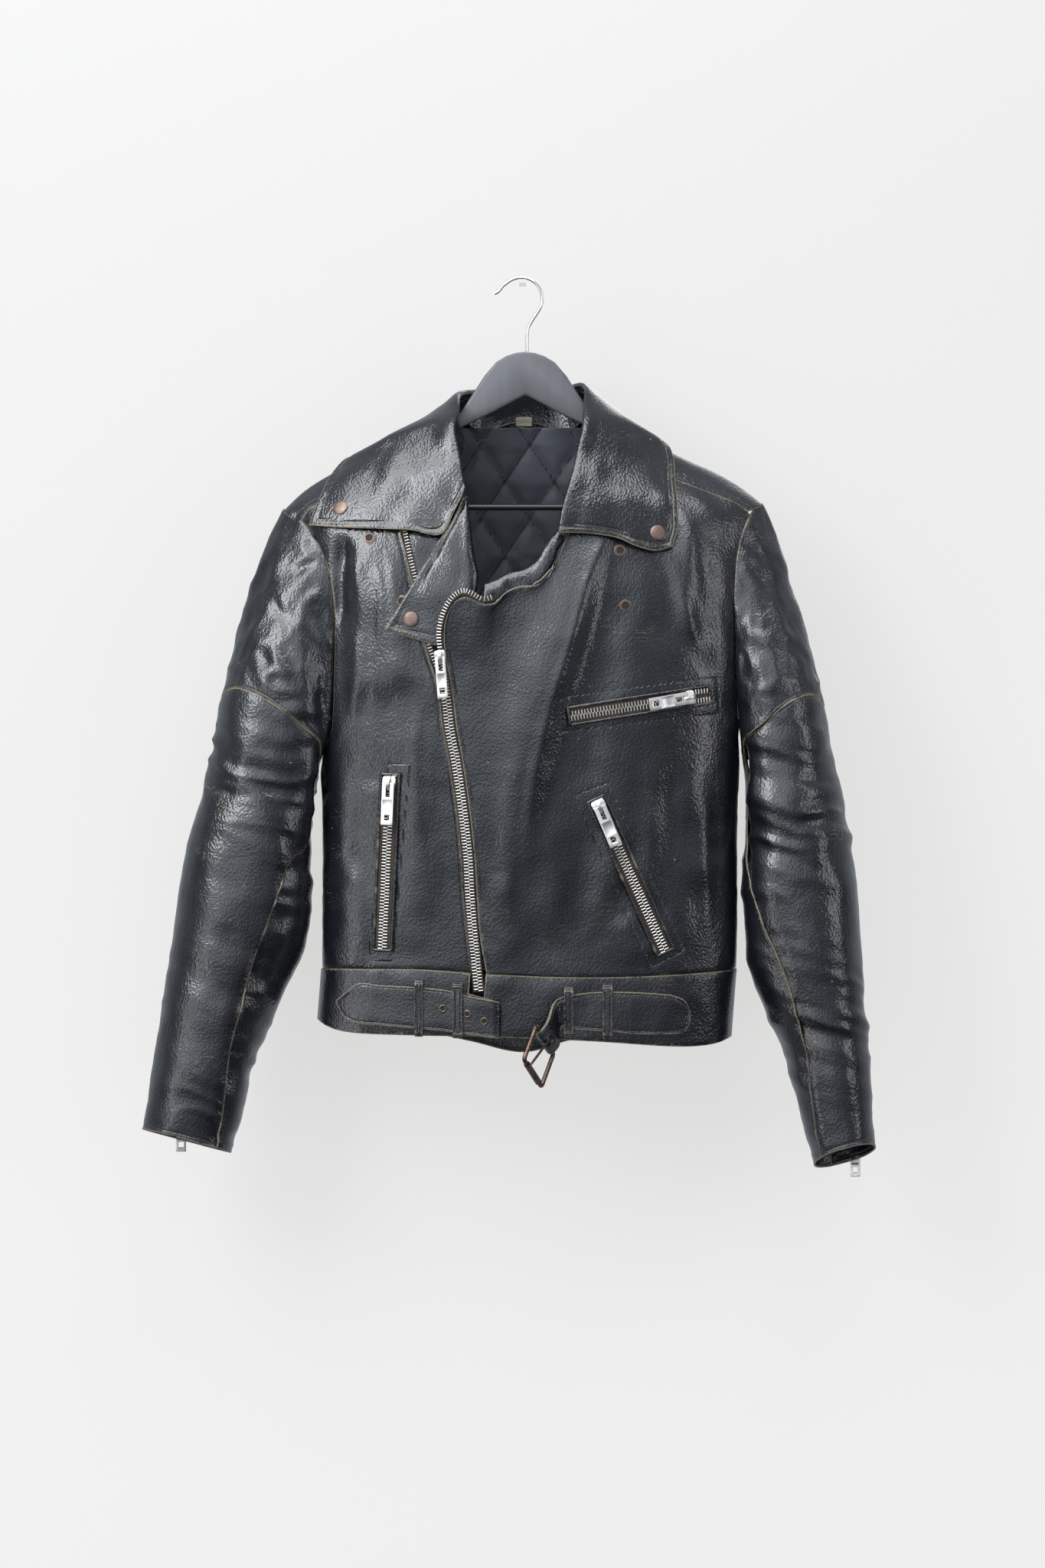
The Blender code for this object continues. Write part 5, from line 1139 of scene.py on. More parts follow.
def left_strap_grid():
    """Rows as deep as the CAD strap lies, then rows that turn round the buckle's bar."""
    mesh = nodes["belt_strap_left"].data
    tree = BVHTree.FromPolygons([v.co for v in mesh.vertices],
                                [tuple(f.vertices) for f in mesh.polygons])
    grid = []
    for x, top, bottom in LEFT_STRAP:
        middle, half = (top + bottom) / 2, (top - bottom) / 2
        row = []
        for w in STRAP_ACROSS:
            start = Vector((min(x, LEFT_STRAP[0][0] - 0.6), -300, middle - half * w * 0.93))
            hit = tree.ray_cast(start * MM, Vector((0, 1, 0)))[0]
            row.append(Vector((x, hit.y / MM, middle - half * w)))
        grid.append(row)
    bar = (BAR_FOOT - BAR_TOP).normalized()
    centre = (BAR_TOP + BAR_FOOT) / 2
    last_x, last_top, last_bottom = LEFT_STRAP[-1]
    flow = centre - Vector((last_x, grid[-1][2].y, (last_top + last_bottom) / 2 - 0.25))
    flow = (flow - bar * flow.dot(bar)).normalized()
    face = bar.cross(flow).normalized()
    face = -face if face.y > 0 else face
    turn = [face * STRAP_TURN - flow * 6.5]
    turn += [(face * cos(t) + flow * sin(t)) * STRAP_TURN for t in np.linspace(0, pi, 5)]
    turn.append(-face * STRAP_TURN - flow * 4.0)
    for place in turn:
        grid.append([centre + place + bar * w * TURN_HALF_WIDTH for w in STRAP_ACROSS])
    return grid


def strap(name, rows, skip, node, seed, reach=0.0):
    """A double strap with a stitch line 3 mm inside its edge; skip leaves cells out."""
    places = np.array([[(p[0], p[1], p[2], r * 1e-4, c * 1e-4) for c, p in enumerate(row)]
                       for r, row in enumerate(rows)])
    fine = refine(places, 2.0, (reach,) * 4)
    grid, at = fine[..., :3], fine[..., 3:] * 1e4
    borders = border_distance(grid)
    edge = np.minimum.reduce(borders)
    which = np.argmin(np.stack(borders), axis=0)
    run = np.where((which == 0) | (which == 2), borders[3], borders[0])
    stitch = np.abs(edge - 3.2)
    height = 0.5 * (1 - np.exp(-edge / 2.0)) - 0.5 + waves(grid, 24, seed=seed) * 0.3
    height -= 0.35 * np.exp(-(stitch / 1.4) ** 2)
    bent = grid + normals_of(grid) * height[..., None]
    made = sheet_object(name, bent, 2.6, {"edge": edge, "stitch": stitch, "run": run})
    if skip:
        rows_out, cols_out = skip
        middle = (at[1:, 1:] + at[:-1, :-1]) / 2
        gone = ((middle[..., 0] > rows_out[0]) & (middle[..., 0] < rows_out[1])
                & (middle[..., 1] > cols_out[0]) & (middle[..., 1] < cols_out[1])).ravel()
        shape = bmesh.new()
        shape.from_mesh(made.data)
        shape.faces.ensure_lookup_table()
        bmesh.ops.delete(shape, geom=[shape.faces[k] for k in np.nonzero(gone)[0]],
                         context="FACES")
        shape.to_mesh(made.data)
        shape.free()
    round_edges(made, 0.6)
    return dress(made, band_leather, "jacket", node, slot="leather")


def facing_out(rows, ahead):
    """The rows, or the rows the other way round, so that the first cells face forward."""
    g = np.array(rows, float)
    first = np.cross(g[ahead, 1] - g[ahead, 0], g[ahead + 1, 0] - g[ahead, 0])
    return rows if first[1] < 0 else [row[::-1] for row in rows]


right_grid = find_skin("belt_strap_right", 15, 4, (0, 0, -690))[::-1]
made = strap("belt_strap_right_leather", facing_out(right_grid, 2), None,
             "belt_strap_right", 31, SEAM_GAP)
prong_slot = ((9, 15), (2, 3))      # rows and columns cut out for the buckle's prong
made = strap("belt_strap_left_leather", facing_out(left_strap_grid(), 2), prong_slot,
             "belt_strap_left", 32)
for k, side in ((1, "right"), (2, "right"), (3, "left"), (4, "left")):
    made = shell("belt_loop_%d" % k, "belt_loop_%d_leather" % k, band_leather, "leather",
                 wear_reach=3.0, stitch_gap=1.8)
    "waistband_" + side + "_leather"

# ---------------------------------------------------------------------------
# Snaps and eyelets: copper caps and sockets pressed through the leather, darker with
# age, and brass eyelets in the belt.
# ---------------------------------------------------------------------------


def metal(name, color, dark, roughness, wear=0.5):
    made = Finish(name, color, roughness, 1.0)
    stain = made.noise(160, 4, 0.65)
    fine = made.noise(900, 2)
    made.put("Base Color", made.mix((stain + fine * 0.25).step(0.42, 0.82) * wear, color, dark))
    made.put("Roughness", roughness + stain * 0.18 - 0.05)
    made.put("Normal", made.bump(fine, 0.00006, 0.4))
    return made


copper = metal("aged_copper", (0.22, 0.155, 0.13), (0.12, 0.088, 0.075), 0.45, 0.8)
brass = metal("dull_brass", (0.20, 0.165, 0.125), (0.05, 0.04, 0.03), 0.36, 0.9)
# Near black that takes almost no light: painted shade, laid as discs in the sockets' wells and the
# eyelets' holes
painted_shade_black = Finish("dark_recess", (0.004, 0.004, 0.004), 0.7)
painted_shade_black.put("Roughness", painted_shade_black.noise(300) * 0.2 + 0.6)


def alone(name):
    """Name the primitive just added; it is the only thing selected."""
    made = bpy.context.view_layer.objects.active
    made.name = made.data.name = name
    return made


def deselect():
    if bpy.context.mode != "OBJECT":
        bpy.ops.object.mode_set(mode="OBJECT")
    bpy.ops.object.select_all(action="DESELECT")


def choose(made, rule, kind="FACE"):
    """Edit mode with the faces, edges or points picked whose middle passes the rule."""
    if bpy.context.mode != "EDIT_MESH":
        bpy.ops.object.mode_set(mode="EDIT")
    bpy.ops.mesh.select_mode(type=kind)
    bpy.ops.mesh.select_all(action="DESELECT")
    shape = bmesh.from_edit_mesh(made.data)
    parts = {"FACE": shape.faces, "EDGE": shape.edges, "VERT": shape.verts}[kind]
    for part in parts:
        if kind == "VERT":
            middle = part.co / MM
        elif kind == "EDGE":
            middle = (part.verts[0].co + part.verts[1].co) / 2 / MM
        else:
            middle = part.calc_center_median() / MM
        if rule(middle, part):
            part.select_set(True)
    bmesh.update_edit_mesh(made.data)


def shift(x=0.0, y=0.0, z=0.0):
    bpy.ops.transform.translate(value=(x * MM, y * MM, z * MM))


def swell(x=1.0, y=1.0, z=1.0, centre=(0, 0, 0)):
    bpy.ops.transform.resize(value=(x, y, z), center_override=centre)


def apply(made, kind, **settings):
    """Add a modifier and apply it."""
    modifier = made.modifiers.new(kind.lower(), kind)
    for key, value in settings.items():
        setattr(modifier, key, value)
    bpy.context.view_layer.objects.active = made
    bpy.ops.object.modifier_apply(modifier=modifier.name)


def copy_to(model, name, frame):
    """A copy of a model with its own mesh, set in a frame (origin, x, y, z) in mm."""
    made = bpy.data.objects.new(name, model.data.copy())
    scene.collection.objects.link(made)
    origin, x, y, z = [Vector(v) for v in frame]
    turn = Matrix((x.normalized(), y.normalized(), z.normalized())).transposed().to_4x4()
    made.data.transform(Matrix.Translation(origin * MM) @ turn)
    return made


def seat_of(node, front=(0, -1, 0)):
    """The frame of a flat round CAD piece: its foot's centre and its axis as z."""
    points = np.array([nodes[node].matrix_world @ v.co for v in nodes[node].data.vertices]) / MM
    middle = (points.max(0) + points.min(0)) / 2
    _, _, axes = np.linalg.svd(points - points.mean(0), full_matrices=False)
    out = Vector(axes[2])
    if out.dot(Vector(front)) < 0:
        out = -out
    foot = Vector(middle) + out * (min((points - middle) @ np.array(out)))
    side = out.cross(Vector((0, 0, 1))).normalized()
    return foot, side, out.cross(side), out


deselect()
bpy.ops.mesh.primitive_cylinder_add(vertices=40, radius=7.3 * MM, depth=0.9 * MM,
                                    location=(0, 0, 0.45 * MM))
cap = alone("cap_model")
for inset, rise in ((0.5, 0.35), (1.2, 0.35), (2.0, 0.22), (2.2, 0.1)):
    choose(cap, lambda m, f: f.normal.z > 0.9 and len(f.verts) > 4)
    bpy.ops.mesh.inset(thickness=inset * MM)
    shift(z=rise)
choose(cap, lambda m, f: len(f.verts) > 4 and f.normal.z > 0.9)
bpy.ops.mesh.poke()
deselect()
smooth(cap, 50)
for name in ("snap_cap_collar_left", "snap_cap_collar_right", "snap_cap_lapel"):
    dress(copy_to(cap, name + "_disc", seat_of(name)), copper, "jacket", name,
          slot="snap_copper")
deselect()
bpy.ops.mesh.primitive_cylinder_add(vertices=32, radius=5.8 * MM, depth=0.7 * MM,
                                    location=(0, 0, 0.35 * MM))
socket = alone("socket_model")
for inset, rise in ((0.9, 0.1), (0.4, 0.9), (0.9, 0.0), (0.4, -1.1)):
    choose(socket, lambda m, f: f.normal.z > 0.9 and len(f.verts) > 4)
    bpy.ops.mesh.inset(thickness=inset * MM)
    shift(z=rise)
for inset, rise in ((1.1, 0.0), (0.2, 0.55)):
    choose(socket, lambda m, f: f.normal.z > 0.9 and len(f.verts) > 4)
    bpy.ops.mesh.inset(thickness=inset * MM)
    shift(z=rise)
deselect()
smooth(socket, 35)
for name in ("left_upper", "left_lower", "right_upper", "right_lower"):
    node = "snap_socket_" + name
    foot, side, up, out = seat_of(node)
    worn_on = front_left if "left" in name else front_right
    away = np.array([v.co for v in worn_on.data.vertices]) / MM - np.array(foot)
    rise = away @ np.array(out)
    close = np.linalg.norm(away - rise[:, None] * np.array(out), axis=1) < 5
    foot = foot + out * max(0.0, float(np.median(rise[close])) + 0.2)
    dress(copy_to(socket, node + "_ring", (foot, side, up, out)), copper, "jacket", node,
          slot="snap_copper")
    # A near-black disc over the socket's middle: painted shade for its recess
    ring = [foot + out * 1.0] + [foot + out * 1.0 + (side * cos(t) + up * sin(t)) * 3.2
                                 for t in np.linspace(0, 2 * pi, 20, endpoint=False)]
    painted_shade_well = new_mesh(node + "_well", [p * MM for p in ring],
                    [(0, j + 1, (j + 1) % 20 + 1) for j in range(20)])
    dress(painted_shade_well, painted_shade_black, "jacket", slot="snap_copper")
deselect()
bpy.ops.mesh.primitive_torus_add(major_radius=2.95 * MM, minor_radius=1.0 * MM,
                                 major_segments=32, minor_segments=10,
                                 location=(0, 0, 0.5 * MM))
eyelet = alone("eyelet_model")
choose(eyelet, lambda m, v: True, "VERT")
swell(z=0.6, centre=(0, 0, 0.4 * MM))
deselect()
smooth(eyelet, 60)
for k in (1, 2, 3):
    node = "belt_eyelet_%d" % k
    frame_of = seat_of(node)
    dress(copy_to(eyelet, node + "_ring", frame_of), brass, "jacket", node,
          slot="eyelet_metal")
    foot, side, up, out = frame_of
    # A near-black disc in the eyelet: painted shade for its hole
    ring = [foot + out * 0.12] + [foot + out * 0.12 + (side * cos(t) + up * sin(t)) * 2.4
                                  for t in np.linspace(0, 2 * pi, 20, endpoint=False)]
    painted_shade_hole = new_mesh(node + "_hole", [p * MM for p in ring],
                    [(0, j + 1, (j + 1) % 20 + 1) for j in range(20)])
    dress(painted_shade_hole, painted_shade_black, "jacket", slot="eyelet_metal")
for model in (cap, socket, eyelet):
    bpy.data.objects.remove(model)

# ---------------------------------------------------------------------------
# Buckle: a four-cornered frame of round brown wire that swings on the strap's fold,
# and a prong that swings with it.
# ---------------------------------------------------------------------------

bronze = metal("brown_bronze", (0.17, 0.115, 0.09), (0.055, 0.04, 0.032), 0.34, 0.8)
bar_way = (BAR_FOOT - BAR_TOP).normalized()
hang_way = (Vector((0, 0, -1)) + bar_way * bar_way.z).normalized()
bar_middle = (BAR_TOP + BAR_FOOT) / 2
corners = [BAR_TOP, BAR_TOP + hang_way * 39, BAR_FOOT + hang_way * 39, BAR_FOOT]
loop = []
for k, corner in enumerate(corners):
    before = (corners[k - 1] - corner).normalized()
    after = (corners[(k + 1) % 4] - corner).normalized()
    for j in range(9):
        t = pi / 2 * j / 8
        loop.append(corner + (before + after) * 3 - after * 3 * cos(t) - before * 3 * sin(t))
    following = corners[(k + 1) % 4] + (corner - corners[(k + 1) % 4]).normalized() * 3
    loop += [loop[-1].lerp(following, s / 6) for s in range(1, 6)]
dress(tube("buckle_wire", loop, 2.15, 16, closed=True), bronze, "buckle", "buckle_frame",
      slot="buckle_metal")
deselect()
bpy.ops.mesh.primitive_cylinder_add(vertices=32, radius=3.15 * MM, depth=29 * MM)
roller = alone("roller_model")
for _ in range(2):
    choose(roller, lambda m, f: abs(f.normal.z) > 0.9 and len(f.verts) > 4)
    bpy.ops.mesh.inset(thickness=0.35 * MM)
choose(roller, lambda m, f: abs(f.normal.z) > 0.9 and len(f.verts) > 4)
swell(z=0.98)
deselect()
smooth(roller, 40)
side_way = (corners[2] - corners[1]).normalized()
across = side_way.orthogonal().normalized()
dress(copy_to(roller, "buckle_roller", ((corners[1] + corners[2]) / 2, across,
                                        side_way.cross(across), side_way)),
      bronze, "buckle", slot="buckle_metal")
bpy.data.objects.remove(roller)
face = bar_way.cross(hang_way).normalized()
face = -face if face.y > 0 else face
root = bar_middle + bar_way
way = hang_way * cos(radians(20)) - bar_way * sin(radians(20))
prong = [root + (face * cos(radians(t)) - hang_way * sin(radians(t))) * 3.65
         for t in range(300, -1, -15)]
prong += [prong[-1] + way * s for s in (4, 10, 16, 22, 28, 34, 39, 42, 44)]
widths = [1.2] * (len(prong) - 4) + [1.15, 1.05, 0.85, 0.45]
dress(tube("buckle_tongue", prong, widths, 12), bronze, "prong", "buckle_prong",
      slot="buckle_metal")

# ---------------------------------------------------------------------------
# Zips: brown cotton tape, nickel teeth clamped on its edge in two rows that mesh, a
# slider and its pull. The pockets' tapes lie in slots with rolled leather lips.
# ---------------------------------------------------------------------------

nickel = metal("nickel", (0.78, 0.77, 0.75), (0.45, 0.43, 0.40), 0.36, 0.3)
tape_cloth = Finish("brown_tape", (0.085, 0.058, 0.040), 0.85, Sheen_Weight=0.2)
threads = tape_cloth.node("ShaderNodeTexWave", {"wave_type": "BANDS",
                                                "bands_direction": "DIAGONAL"},
                          {"Vector": tape_cloth.place(), "Scale": 900.0, "Distortion": 1.0},
                          "Fac")
dirt = tape_cloth.noise(120, 4, 0.6)
# Both tones are the brown cloth's own colour at half strength: real brown, darkened as painted
# shade for where the tape lies between and under the teeth; the dirt noise picks between them at
# random
tape_cloth.put("Base Color", tape_cloth.mix(dirt.step(0.3, 0.75), (0.060, 0.041, 0.028),
                                            (0.028, 0.020, 0.014)))
tape_cloth.put("Roughness", dirt * 0.1 + 0.8)
tape_cloth.put("Normal", tape_cloth.bump(threads, 0.0002, 0.6))

deselect()
bpy.ops.mesh.primitive_cube_add(size=1)
tooth = alone("tooth_model")
choose(tooth, lambda m, v: True, "VERT")
swell(0.95 * MM, 4.8 * MM, 2.3 * MM)
choose(tooth, lambda m, v: m.y < 0, "VERT")
swell(1.15, 1, 1)
deselect()
apply(tooth, "BEVEL", width=0.36 * MM, segments=1, limit_method="NONE")
tooth_points = np.array([v.co for v in tooth.data.vertices]) / MM
tooth_faces = [tuple(f.vertices) for f in tooth.data.polygons]
bpy.data.objects.remove(tooth)


def along(line, normals, pitch, start=0.0):
    """Places at even steps on a line: point, direction and normal."""
    steps = np.linalg.norm(np.diff(line, axis=0), axis=1)
    travelled = np.concatenate([[0], np.cumsum(steps)])
    at = np.arange(start, travelled[-1], pitch)
    point = np.stack([np.interp(at, travelled, line[:, j]) for j in range(3)], 1)
    out = np.stack([np.interp(at, travelled, normals[:, j]) for j in range(3)], 1)
    out /= np.linalg.norm(out, axis=1)[:, None]
    way = np.stack([np.interp(at + 0.5, travelled, line[:, j]) for j in range(3)], 1) \
        - np.stack([np.interp(at - 0.5, travelled, line[:, j]) for j in range(3)], 1)
    way /= np.linalg.norm(way, axis=1)[:, None] + 1e-9
    return point, way, out


def teeth(name, rows_of_teeth, slot="zip_metal"):
    """One mesh of all teeth; each row is (points, ways, outs, side, reach, lift)."""
    points, faces = [], []
    for point, way, out, side, reach, lift in rows_of_teeth:
        across = np.cross(out, way) * side
        for p, w, a, o in zip(point, way, across, out):
            first = len(points)
            place = p + a * reach + o * lift
            turn = np.stack([w, a, o])
            points += list((place + tooth_points @ turn) * MM)
            order = 1 if np.dot(np.cross(w, a), o) > 0 else -1
            faces += [tuple(first + k for k in f[::order]) for f in tooth_faces]
    made = new_mesh(name, points, faces)
    smooth(made, 30)
    return dress(made, nickel, "jacket", slot=slot)


def plate_model(name, length, width):
    """A pull: a pressed plate with a long slot over the slider's bridge, a square window
    near its free end and a sunk panel between. Its axis is the origin, x points down."""
    half, slot_end, window = width / 2, length * 0.33, (length - 9.2, length - 4.2)
    deselect()
    bpy.ops.mesh.primitive_plane_add(size=1)
    made = alone(name)
    choose(made, lambda m, v: True, "VERT")
    swell((length + 0.7) * MM, width * MM, 1)
    shift(x=(length - 0.7) / 2)
    for place in (0.75, slot_end, slot_end + 1.5, window[0] - 1.5, window[0], window[1]):
        choose(made, lambda m, f: True)
        bpy.ops.mesh.bisect(plane_co=(place * MM, 0, 0), plane_no=(1, 0, 0))
    for place in (-2.45, -2.0, 2.0, 2.45):
        choose(made, lambda m, f: True)
        bpy.ops.mesh.bisect(plane_co=(0, place * MM, 0), plane_no=(0, 1, 0))
    choose(made, lambda m, f: (0.75 < m.x < slot_end and abs(m.y) < 2.0)
           or (window[0] < m.x < window[1] and abs(m.y) < 2.45))
    bpy.ops.mesh.delete(type="FACE")
    deselect()
    made.select_set(True)
    apply(made, "SOLIDIFY", thickness=1.25 * MM, offset=0)
    low, high = slot_end + 1.5, window[0] - 1.5
    for way in (1, -1):
        choose(made, lambda m, f: low < m.x < high and f.normal.z * way > 0.9)
        bpy.ops.mesh.dissolve_faces()
        choose(made, lambda m, f: low < m.x < high and f.normal.z * way > 0.9)
        bpy.ops.mesh.inset(thickness=1.1 * MM)
        bpy.ops.mesh.inset(thickness=0.3 * MM)
        shift(z=-0.22 * way)
    deselect()
    apply(made, "BEVEL", width=0.28 * MM, segments=2, limit_method="ANGLE",
          angle_limit=radians(50))
    smooth(made, 40)
    return made


def slider_model(name, width):
    """A slider: a wedge-shaped body and the bent bridge that carries the pull. The
    tape's face is z = 0, the nose points to -x."""
    deselect()
    bpy.ops.mesh.primitive_cube_add(size=1)
    body = alone(name)
    choose(body, lambda m, v: True, "VERT")
    swell(13.6 * MM, width * MM, 3.0 * MM)
    shift(z=1.5)
    for place in (-4.6, -0.5, 3.6):
        choose(body, lambda m, f: True)
        bpy.ops.mesh.bisect(plane_co=(place * MM, 0, 0), plane_no=(1, 0, 0))
    for low, high, share in ((-9, -5.5, 0.80), (3, 4.5, 0.84), (5, 9, 0.62)):
        choose(body, lambda m, v: low < m.x < high, "VERT")
        swell(1, share, 1)
    choose(body, lambda m, v: m.z > 2.5 and abs(m.x) > 6, "VERT")
    shift(z=-0.7)
    deselect()
    apply(body, "BEVEL", width=0.7 * MM, segments=3, limit_method="ANGLE",
          angle_limit=radians(30))
    deselect()
    bpy.ops.mesh.primitive_cube_add(size=1)
    bridge = alone(name + "_bridge")
    choose(bridge, lambda m, v: True, "VERT")
    swell(13.0 * MM, 3.6 * MM, 1.3 * MM)
    shift(x=-0.7, z=3.0)
    rise = [(-7.2, 0), (-6.2, 1.2), (-4.6, 2.7), (-2.0, 3.4), (0.8, 3.35), (3.0, 2.6),
            (4.6, 1.3), (5.8, -0.2)]
    for place, _ in rise[1:-1]:
        choose(bridge, lambda m, f: True)
        bpy.ops.mesh.bisect(plane_co=(place * MM, 0, 0), plane_no=(1, 0, 0))
    for place, height in rise:
        choose(bridge, lambda m, v: abs(m.x - place) < 0.05, "VERT")
        shift(z=height)
        swell(1, 1.12 - 0.03 * (place + 7), 1)
    deselect()
    apply(bridge, "BEVEL", width=0.35 * MM, segments=2, limit_method="ANGLE",
          angle_limit=radians(35))
    body.select_set(True)
    bpy.context.view_layer.objects.active = body
    bridge.select_set(True)
    bpy.ops.object.join()
    smooth(body, 40)
    return body


joint_of = {j["child"]: j for j in frame["joints"]}


def hang_pull(zip_name, body, width, line, normals):
    """The slider and its pull at the CAD joint's place on a chain's line."""
    joint = joint_of[body]
    seat = Vector(joint["pos_m"]) / MM
    k = int(np.argmin(np.linalg.norm(line - np.array(seat), axis=1)))
    k = min(max(k, 2), len(line) - 3)
    node = zip_name + "_pull"
    low, high = [Vector(v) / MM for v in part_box(node)]
    points = np.array([v.co for v in nodes[node].data.vertices]) / MM
    across = -Vector(joint["axis"]).normalized()
    down = Vector(points.mean(0)) - seat
    down = (down - across * down.dot(across)).normalized()
    length = max((Vector(p) - seat).dot(down) for p in points)
    pull = plate_model(node + "_plate", length, width)
    out = down.cross(across)
    made = copy_to(pull, node + "_plate_1", (seat, down, across, out))
    bpy.data.objects.remove(pull)
    dress(made, nickel, body, node, slot="zip_metal")
    body_low = np.array([v.co for v in nodes[zip_name + "_slider"].data.vertices]) / MM
    tape_out = Vector(normals[k]).normalized()
    chain = Vector(line[k + 2] - line[k - 2]).normalized()
    chain = chain if chain.dot(down) > 0 else -chain
    side = tape_out.cross(chain).normalized()
    model = slider_model(zip_name + "_slider_model", width * 1.12)
    centre = Vector(body_low.mean(0))
    foot = seat - tape_out * 4.65
    made = copy_to(model, zip_name + "_slider_body", (foot, chain, side, tape_out))
    bpy.data.objects.remove(model)
    return dress(made, nickel, "jacket", zip_name + "_slider", slot="zip_metal")


def tape(node, rows, cols, core, thickness):
    """A zip's tape taken from its CAD wall, and its smooth grid."""
    grid = turn_up(find_skin(node, rows, cols, core), core=core)
    fine = refine(grid, 1.6)
    made = sheet_object(node + "_cloth", fine, thickness, {})
    return dress(made, tape_cloth, "jacket", node, slot="zip_tape"), fine


PITCH = 3.0
left_cloth, left_tape = tape("main_zip_left", 20, 2, (0, 200, -430), 1.3)
right_cloth, right_tape = tape("main_zip_right", 16, 2, (0, 200, -430), 1.3)
left_edge = 0 if left_tape[0, 0, 0] < left_tape[0, -1, 0] else -1
right_edge = -1 if right_tape[0, 0, 0] < right_tape[0, -1, 0] else 0
chain_rows = []
for grid, edge, shift_by in ((left_tape, left_edge, 0.0), (right_tape, right_edge, PITCH / 2)):
    line, normals = grid[:, edge], normals_of(grid)[:, edge]
    point, way, out = along(line, normals, PITCH, 1.0 + shift_by)
    tape_side = grid[len(grid) // 2, -1 if edge == 0 else 0] - grid[len(grid) // 2, edge]
    k = int(np.argmin(np.linalg.norm(point - grid[len(grid) // 2, edge], axis=1)))
    side = 1 if np.dot(np.cross(out[k], way[k]), tape_side) > 0 else -1
    chain_rows.append((point, way, out, side, 1.65, 0.25))
chain = teeth("main_zip_teeth", chain_rows)
hang_pull("main_zip", "main_pull", 9.8, left_tape[:, left_edge],
          normals_of(left_tape)[:, left_edge])


def lips(name, grid, radius=1.5):
    """The rolled leather edge round a pocket zip's slot."""
    out = normals_of(grid)
    ring = np.concatenate([grid[0, :-1], grid[:-1, -1], grid[-1, :0:-1], grid[:0:-1, 0]])
    outs = np.concatenate([out[0, :-1], out[:-1, -1], out[-1, :0:-1], out[:0:-1, 0]])
    line = ring + outs * 0.5
    keep = [0]
    for k in range(1, len(line)):
        if np.linalg.norm(line[k] - line[keep[-1]]) > 1.2:
            keep.append(k)
    made = tube(name, line[keep], radius, 10, closed=True)
    points = np.array([v.co for v in made.data.vertices]) / MM
    give(made, "edge", 2.1 + waves(points, 11, seed=2) * 1.5)
    give(made, "stitch", np.full(len(points), 50.0))
    return dress(made, leather, "jacket", slot="leather")


def laid_tape(node, start, end, half, back):
    """A straight tape: points a little inside its outline, laid on its CAD wall."""
    start, end = np.array(start, float), np.array(end, float)
    way = (end - start) / np.linalg.norm(end - start)
    side = np.array([-way[1], way[0]])
    shape = bmesh.new()
    shape.from_mesh(nodes[node].data)
    tree = BVHTree.FromBMesh(shape)
    shape.free()
    length = np.linalg.norm(end - start)
    grid = []
    for s in np.linspace(0.06, length - 0.06, int(length / 1.8) + 1):
        line = []
        for t in np.linspace(-half + 0.06, half - 0.06, 9):
            x, z = start + way * s + side * t
            hit = tree.ray_cast(Vector((x, 300 if back else -300, z)) * MM,
                                Vector((0, -1 if back else 1, 0)))[0]
            line.append(tuple(hit / MM))
        grid.append(line)
    grid = outward(np.array(grid), (start[0] * 0.9, -500 if back else 500, start[1]))
    made = sheet_object(node + "_cloth", grid, 0.9, {})
    return dress(made, tape_cloth, "jacket", node, slot="zip_tape"), grid


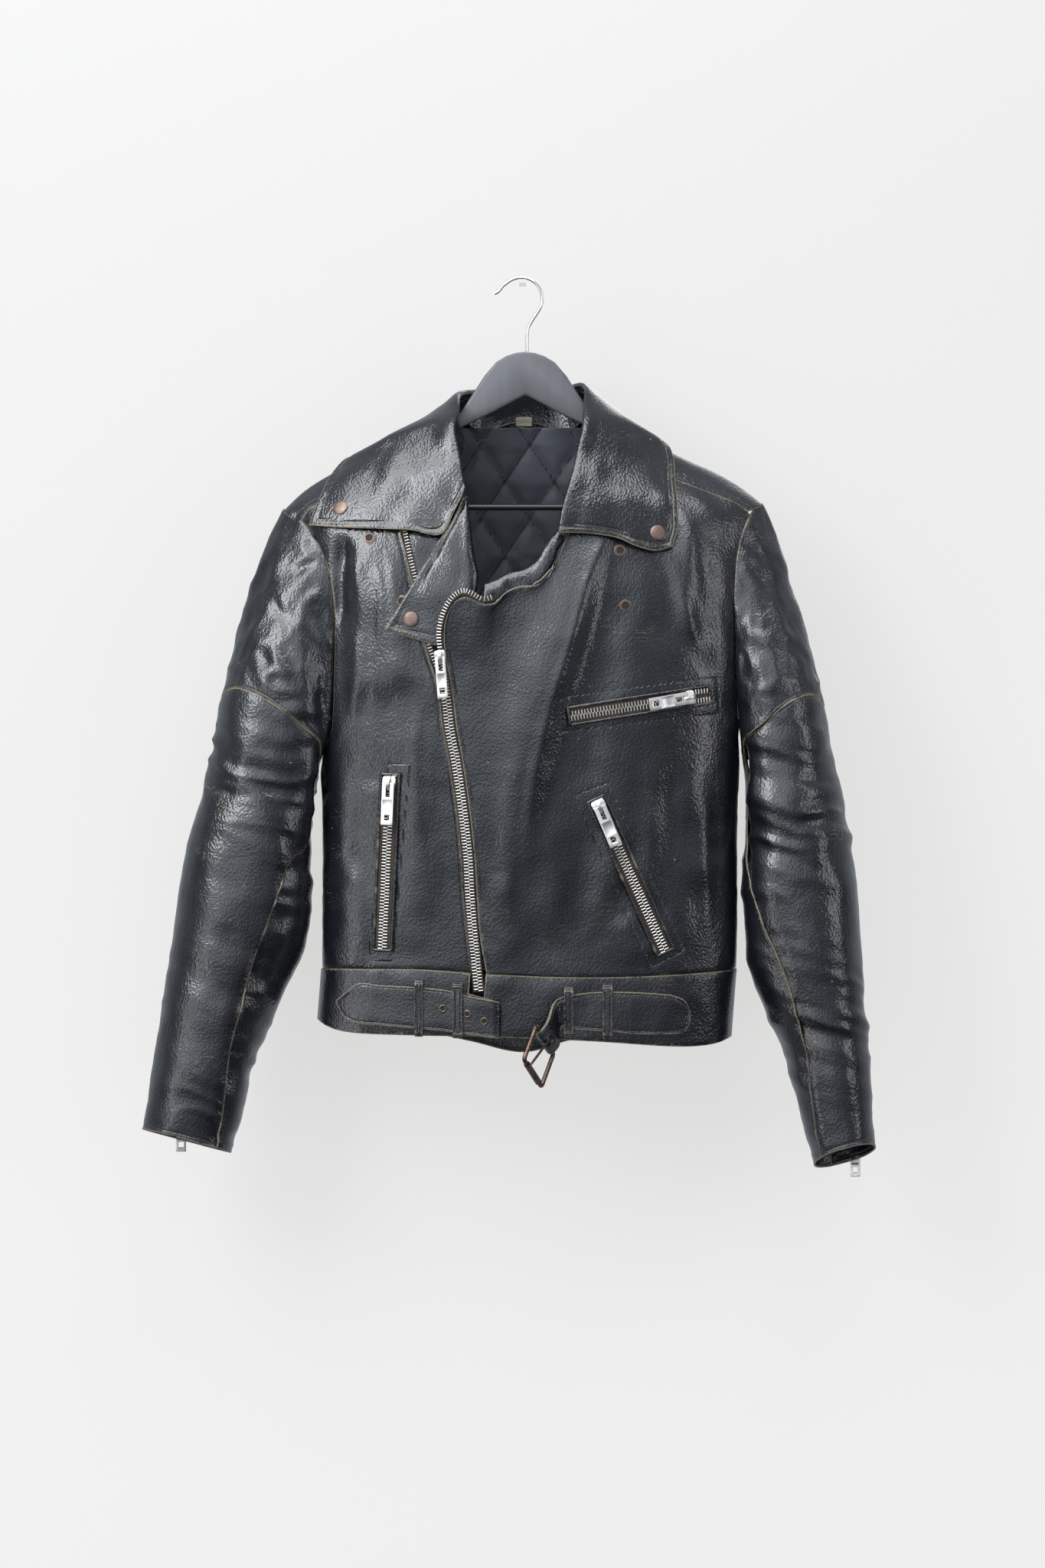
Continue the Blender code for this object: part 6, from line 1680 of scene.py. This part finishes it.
for node, start, end, half, back, body, width, flat, panel_name in (
        ("chest_zip", (176, -394.5), (43, -415.5), 8.2, False, "chest_pull", 12.0,
         (0.0165, 0.1385), "front_left_leather"),
        ("pocket_zip_right", (-125.5, -470), (-133, -636), 8.6, False, "pocket_pull_right",
         12.0, (0.0178, 0.1665), "front_right_leather"),
        ("pocket_zip_left", (68.5, -493), (134, -638), 8.5, False, "pocket_pull_left", 12.0,
         (0.0171, 0.1602), "front_left_leather"),
        ("cuff_zip_right", (-326, -806), (-309, -715), 6.0, True, "cuff_pull_right", 9.6,
         (0.0122, 0.0930), "sleeve_outer_right_leather"),
        ("cuff_zip_left", (314, -828), (308, -735), 6.0, True, "cuff_pull_left", 9.6,
         (0.0136, 0.0935), "sleeve_outer_left_leather")):
    made, cloth = laid_tape(node, start, end, half, back)
    middle = cloth.shape[1] // 2
    line, normals = cloth[:, middle], normals_of(cloth)[:, middle]
    length = np.linalg.norm(np.diff(line, axis=0), axis=1).sum()
    joint = np.array(joint_of[body]["pos_m"]) / MM
    near_start = np.linalg.norm(line[0] - joint) < np.linalg.norm(line[-1] - joint)
    made_rows = []
    for side, start in ((1, 1.2), (-1, 1.2 + PITCH / 2)):
        point, way, out = along(line, normals, PITCH, start)
        far = (point - joint) @ (line[-1] - line[0]) / np.linalg.norm(line[-1] - line[0])
        beyond = -far if near_start else far
        apart = np.clip(beyond / 6, 0, 1) * (width / 12) * 2.2
        across = np.cross(out, way) * side
        point = point + across * apart[:, None]
        made_rows.append((point, way, out, side, 2.15, 0.45))
    row = teeth(node + "_teeth", made_rows)
    hang_pull(node, body, width, line, normals)
    lips(node + "_lips", cloth)

# ---------------------------------------------------------------------------
# Label: a plain cream tape sewn on the leather patch at the neck.
# ---------------------------------------------------------------------------

cream = Finish("cream_tape", (0.62, 0.56, 0.42), 0.8)
weft = cream.noise(700, 3, 0.6, cream.scaled((1, 1, 3)))
cream.put("Base Color", cream.mix(weft.step(0.3, 0.75), (0.66, 0.60, 0.47),
                                  (0.50, 0.44, 0.32)))
cream.put("Normal", cream.bump(weft, 0.0002, 0.5))
shape = bmesh.new()
shape.from_mesh(nodes["neck_tab"].data)
tree = BVHTree.FromBMesh(shape)
shape.free()
grid = []
for z in np.linspace(-139.0, -130.2, 9):
    there = tree.ray_cast(Vector((2, -300, max(z, -135.5))) * MM, Vector((0, 1, 0)))[0] / MM
    grid.append([(x, there.y - 1.1, z) for x in np.linspace(-6.8, 8.2, 13)])
label = sheet_object("neck_label", outward(np.array(grid), (0, 300, -135)), 0.5, {})
dress(label, cream, "jacket", slot="label")
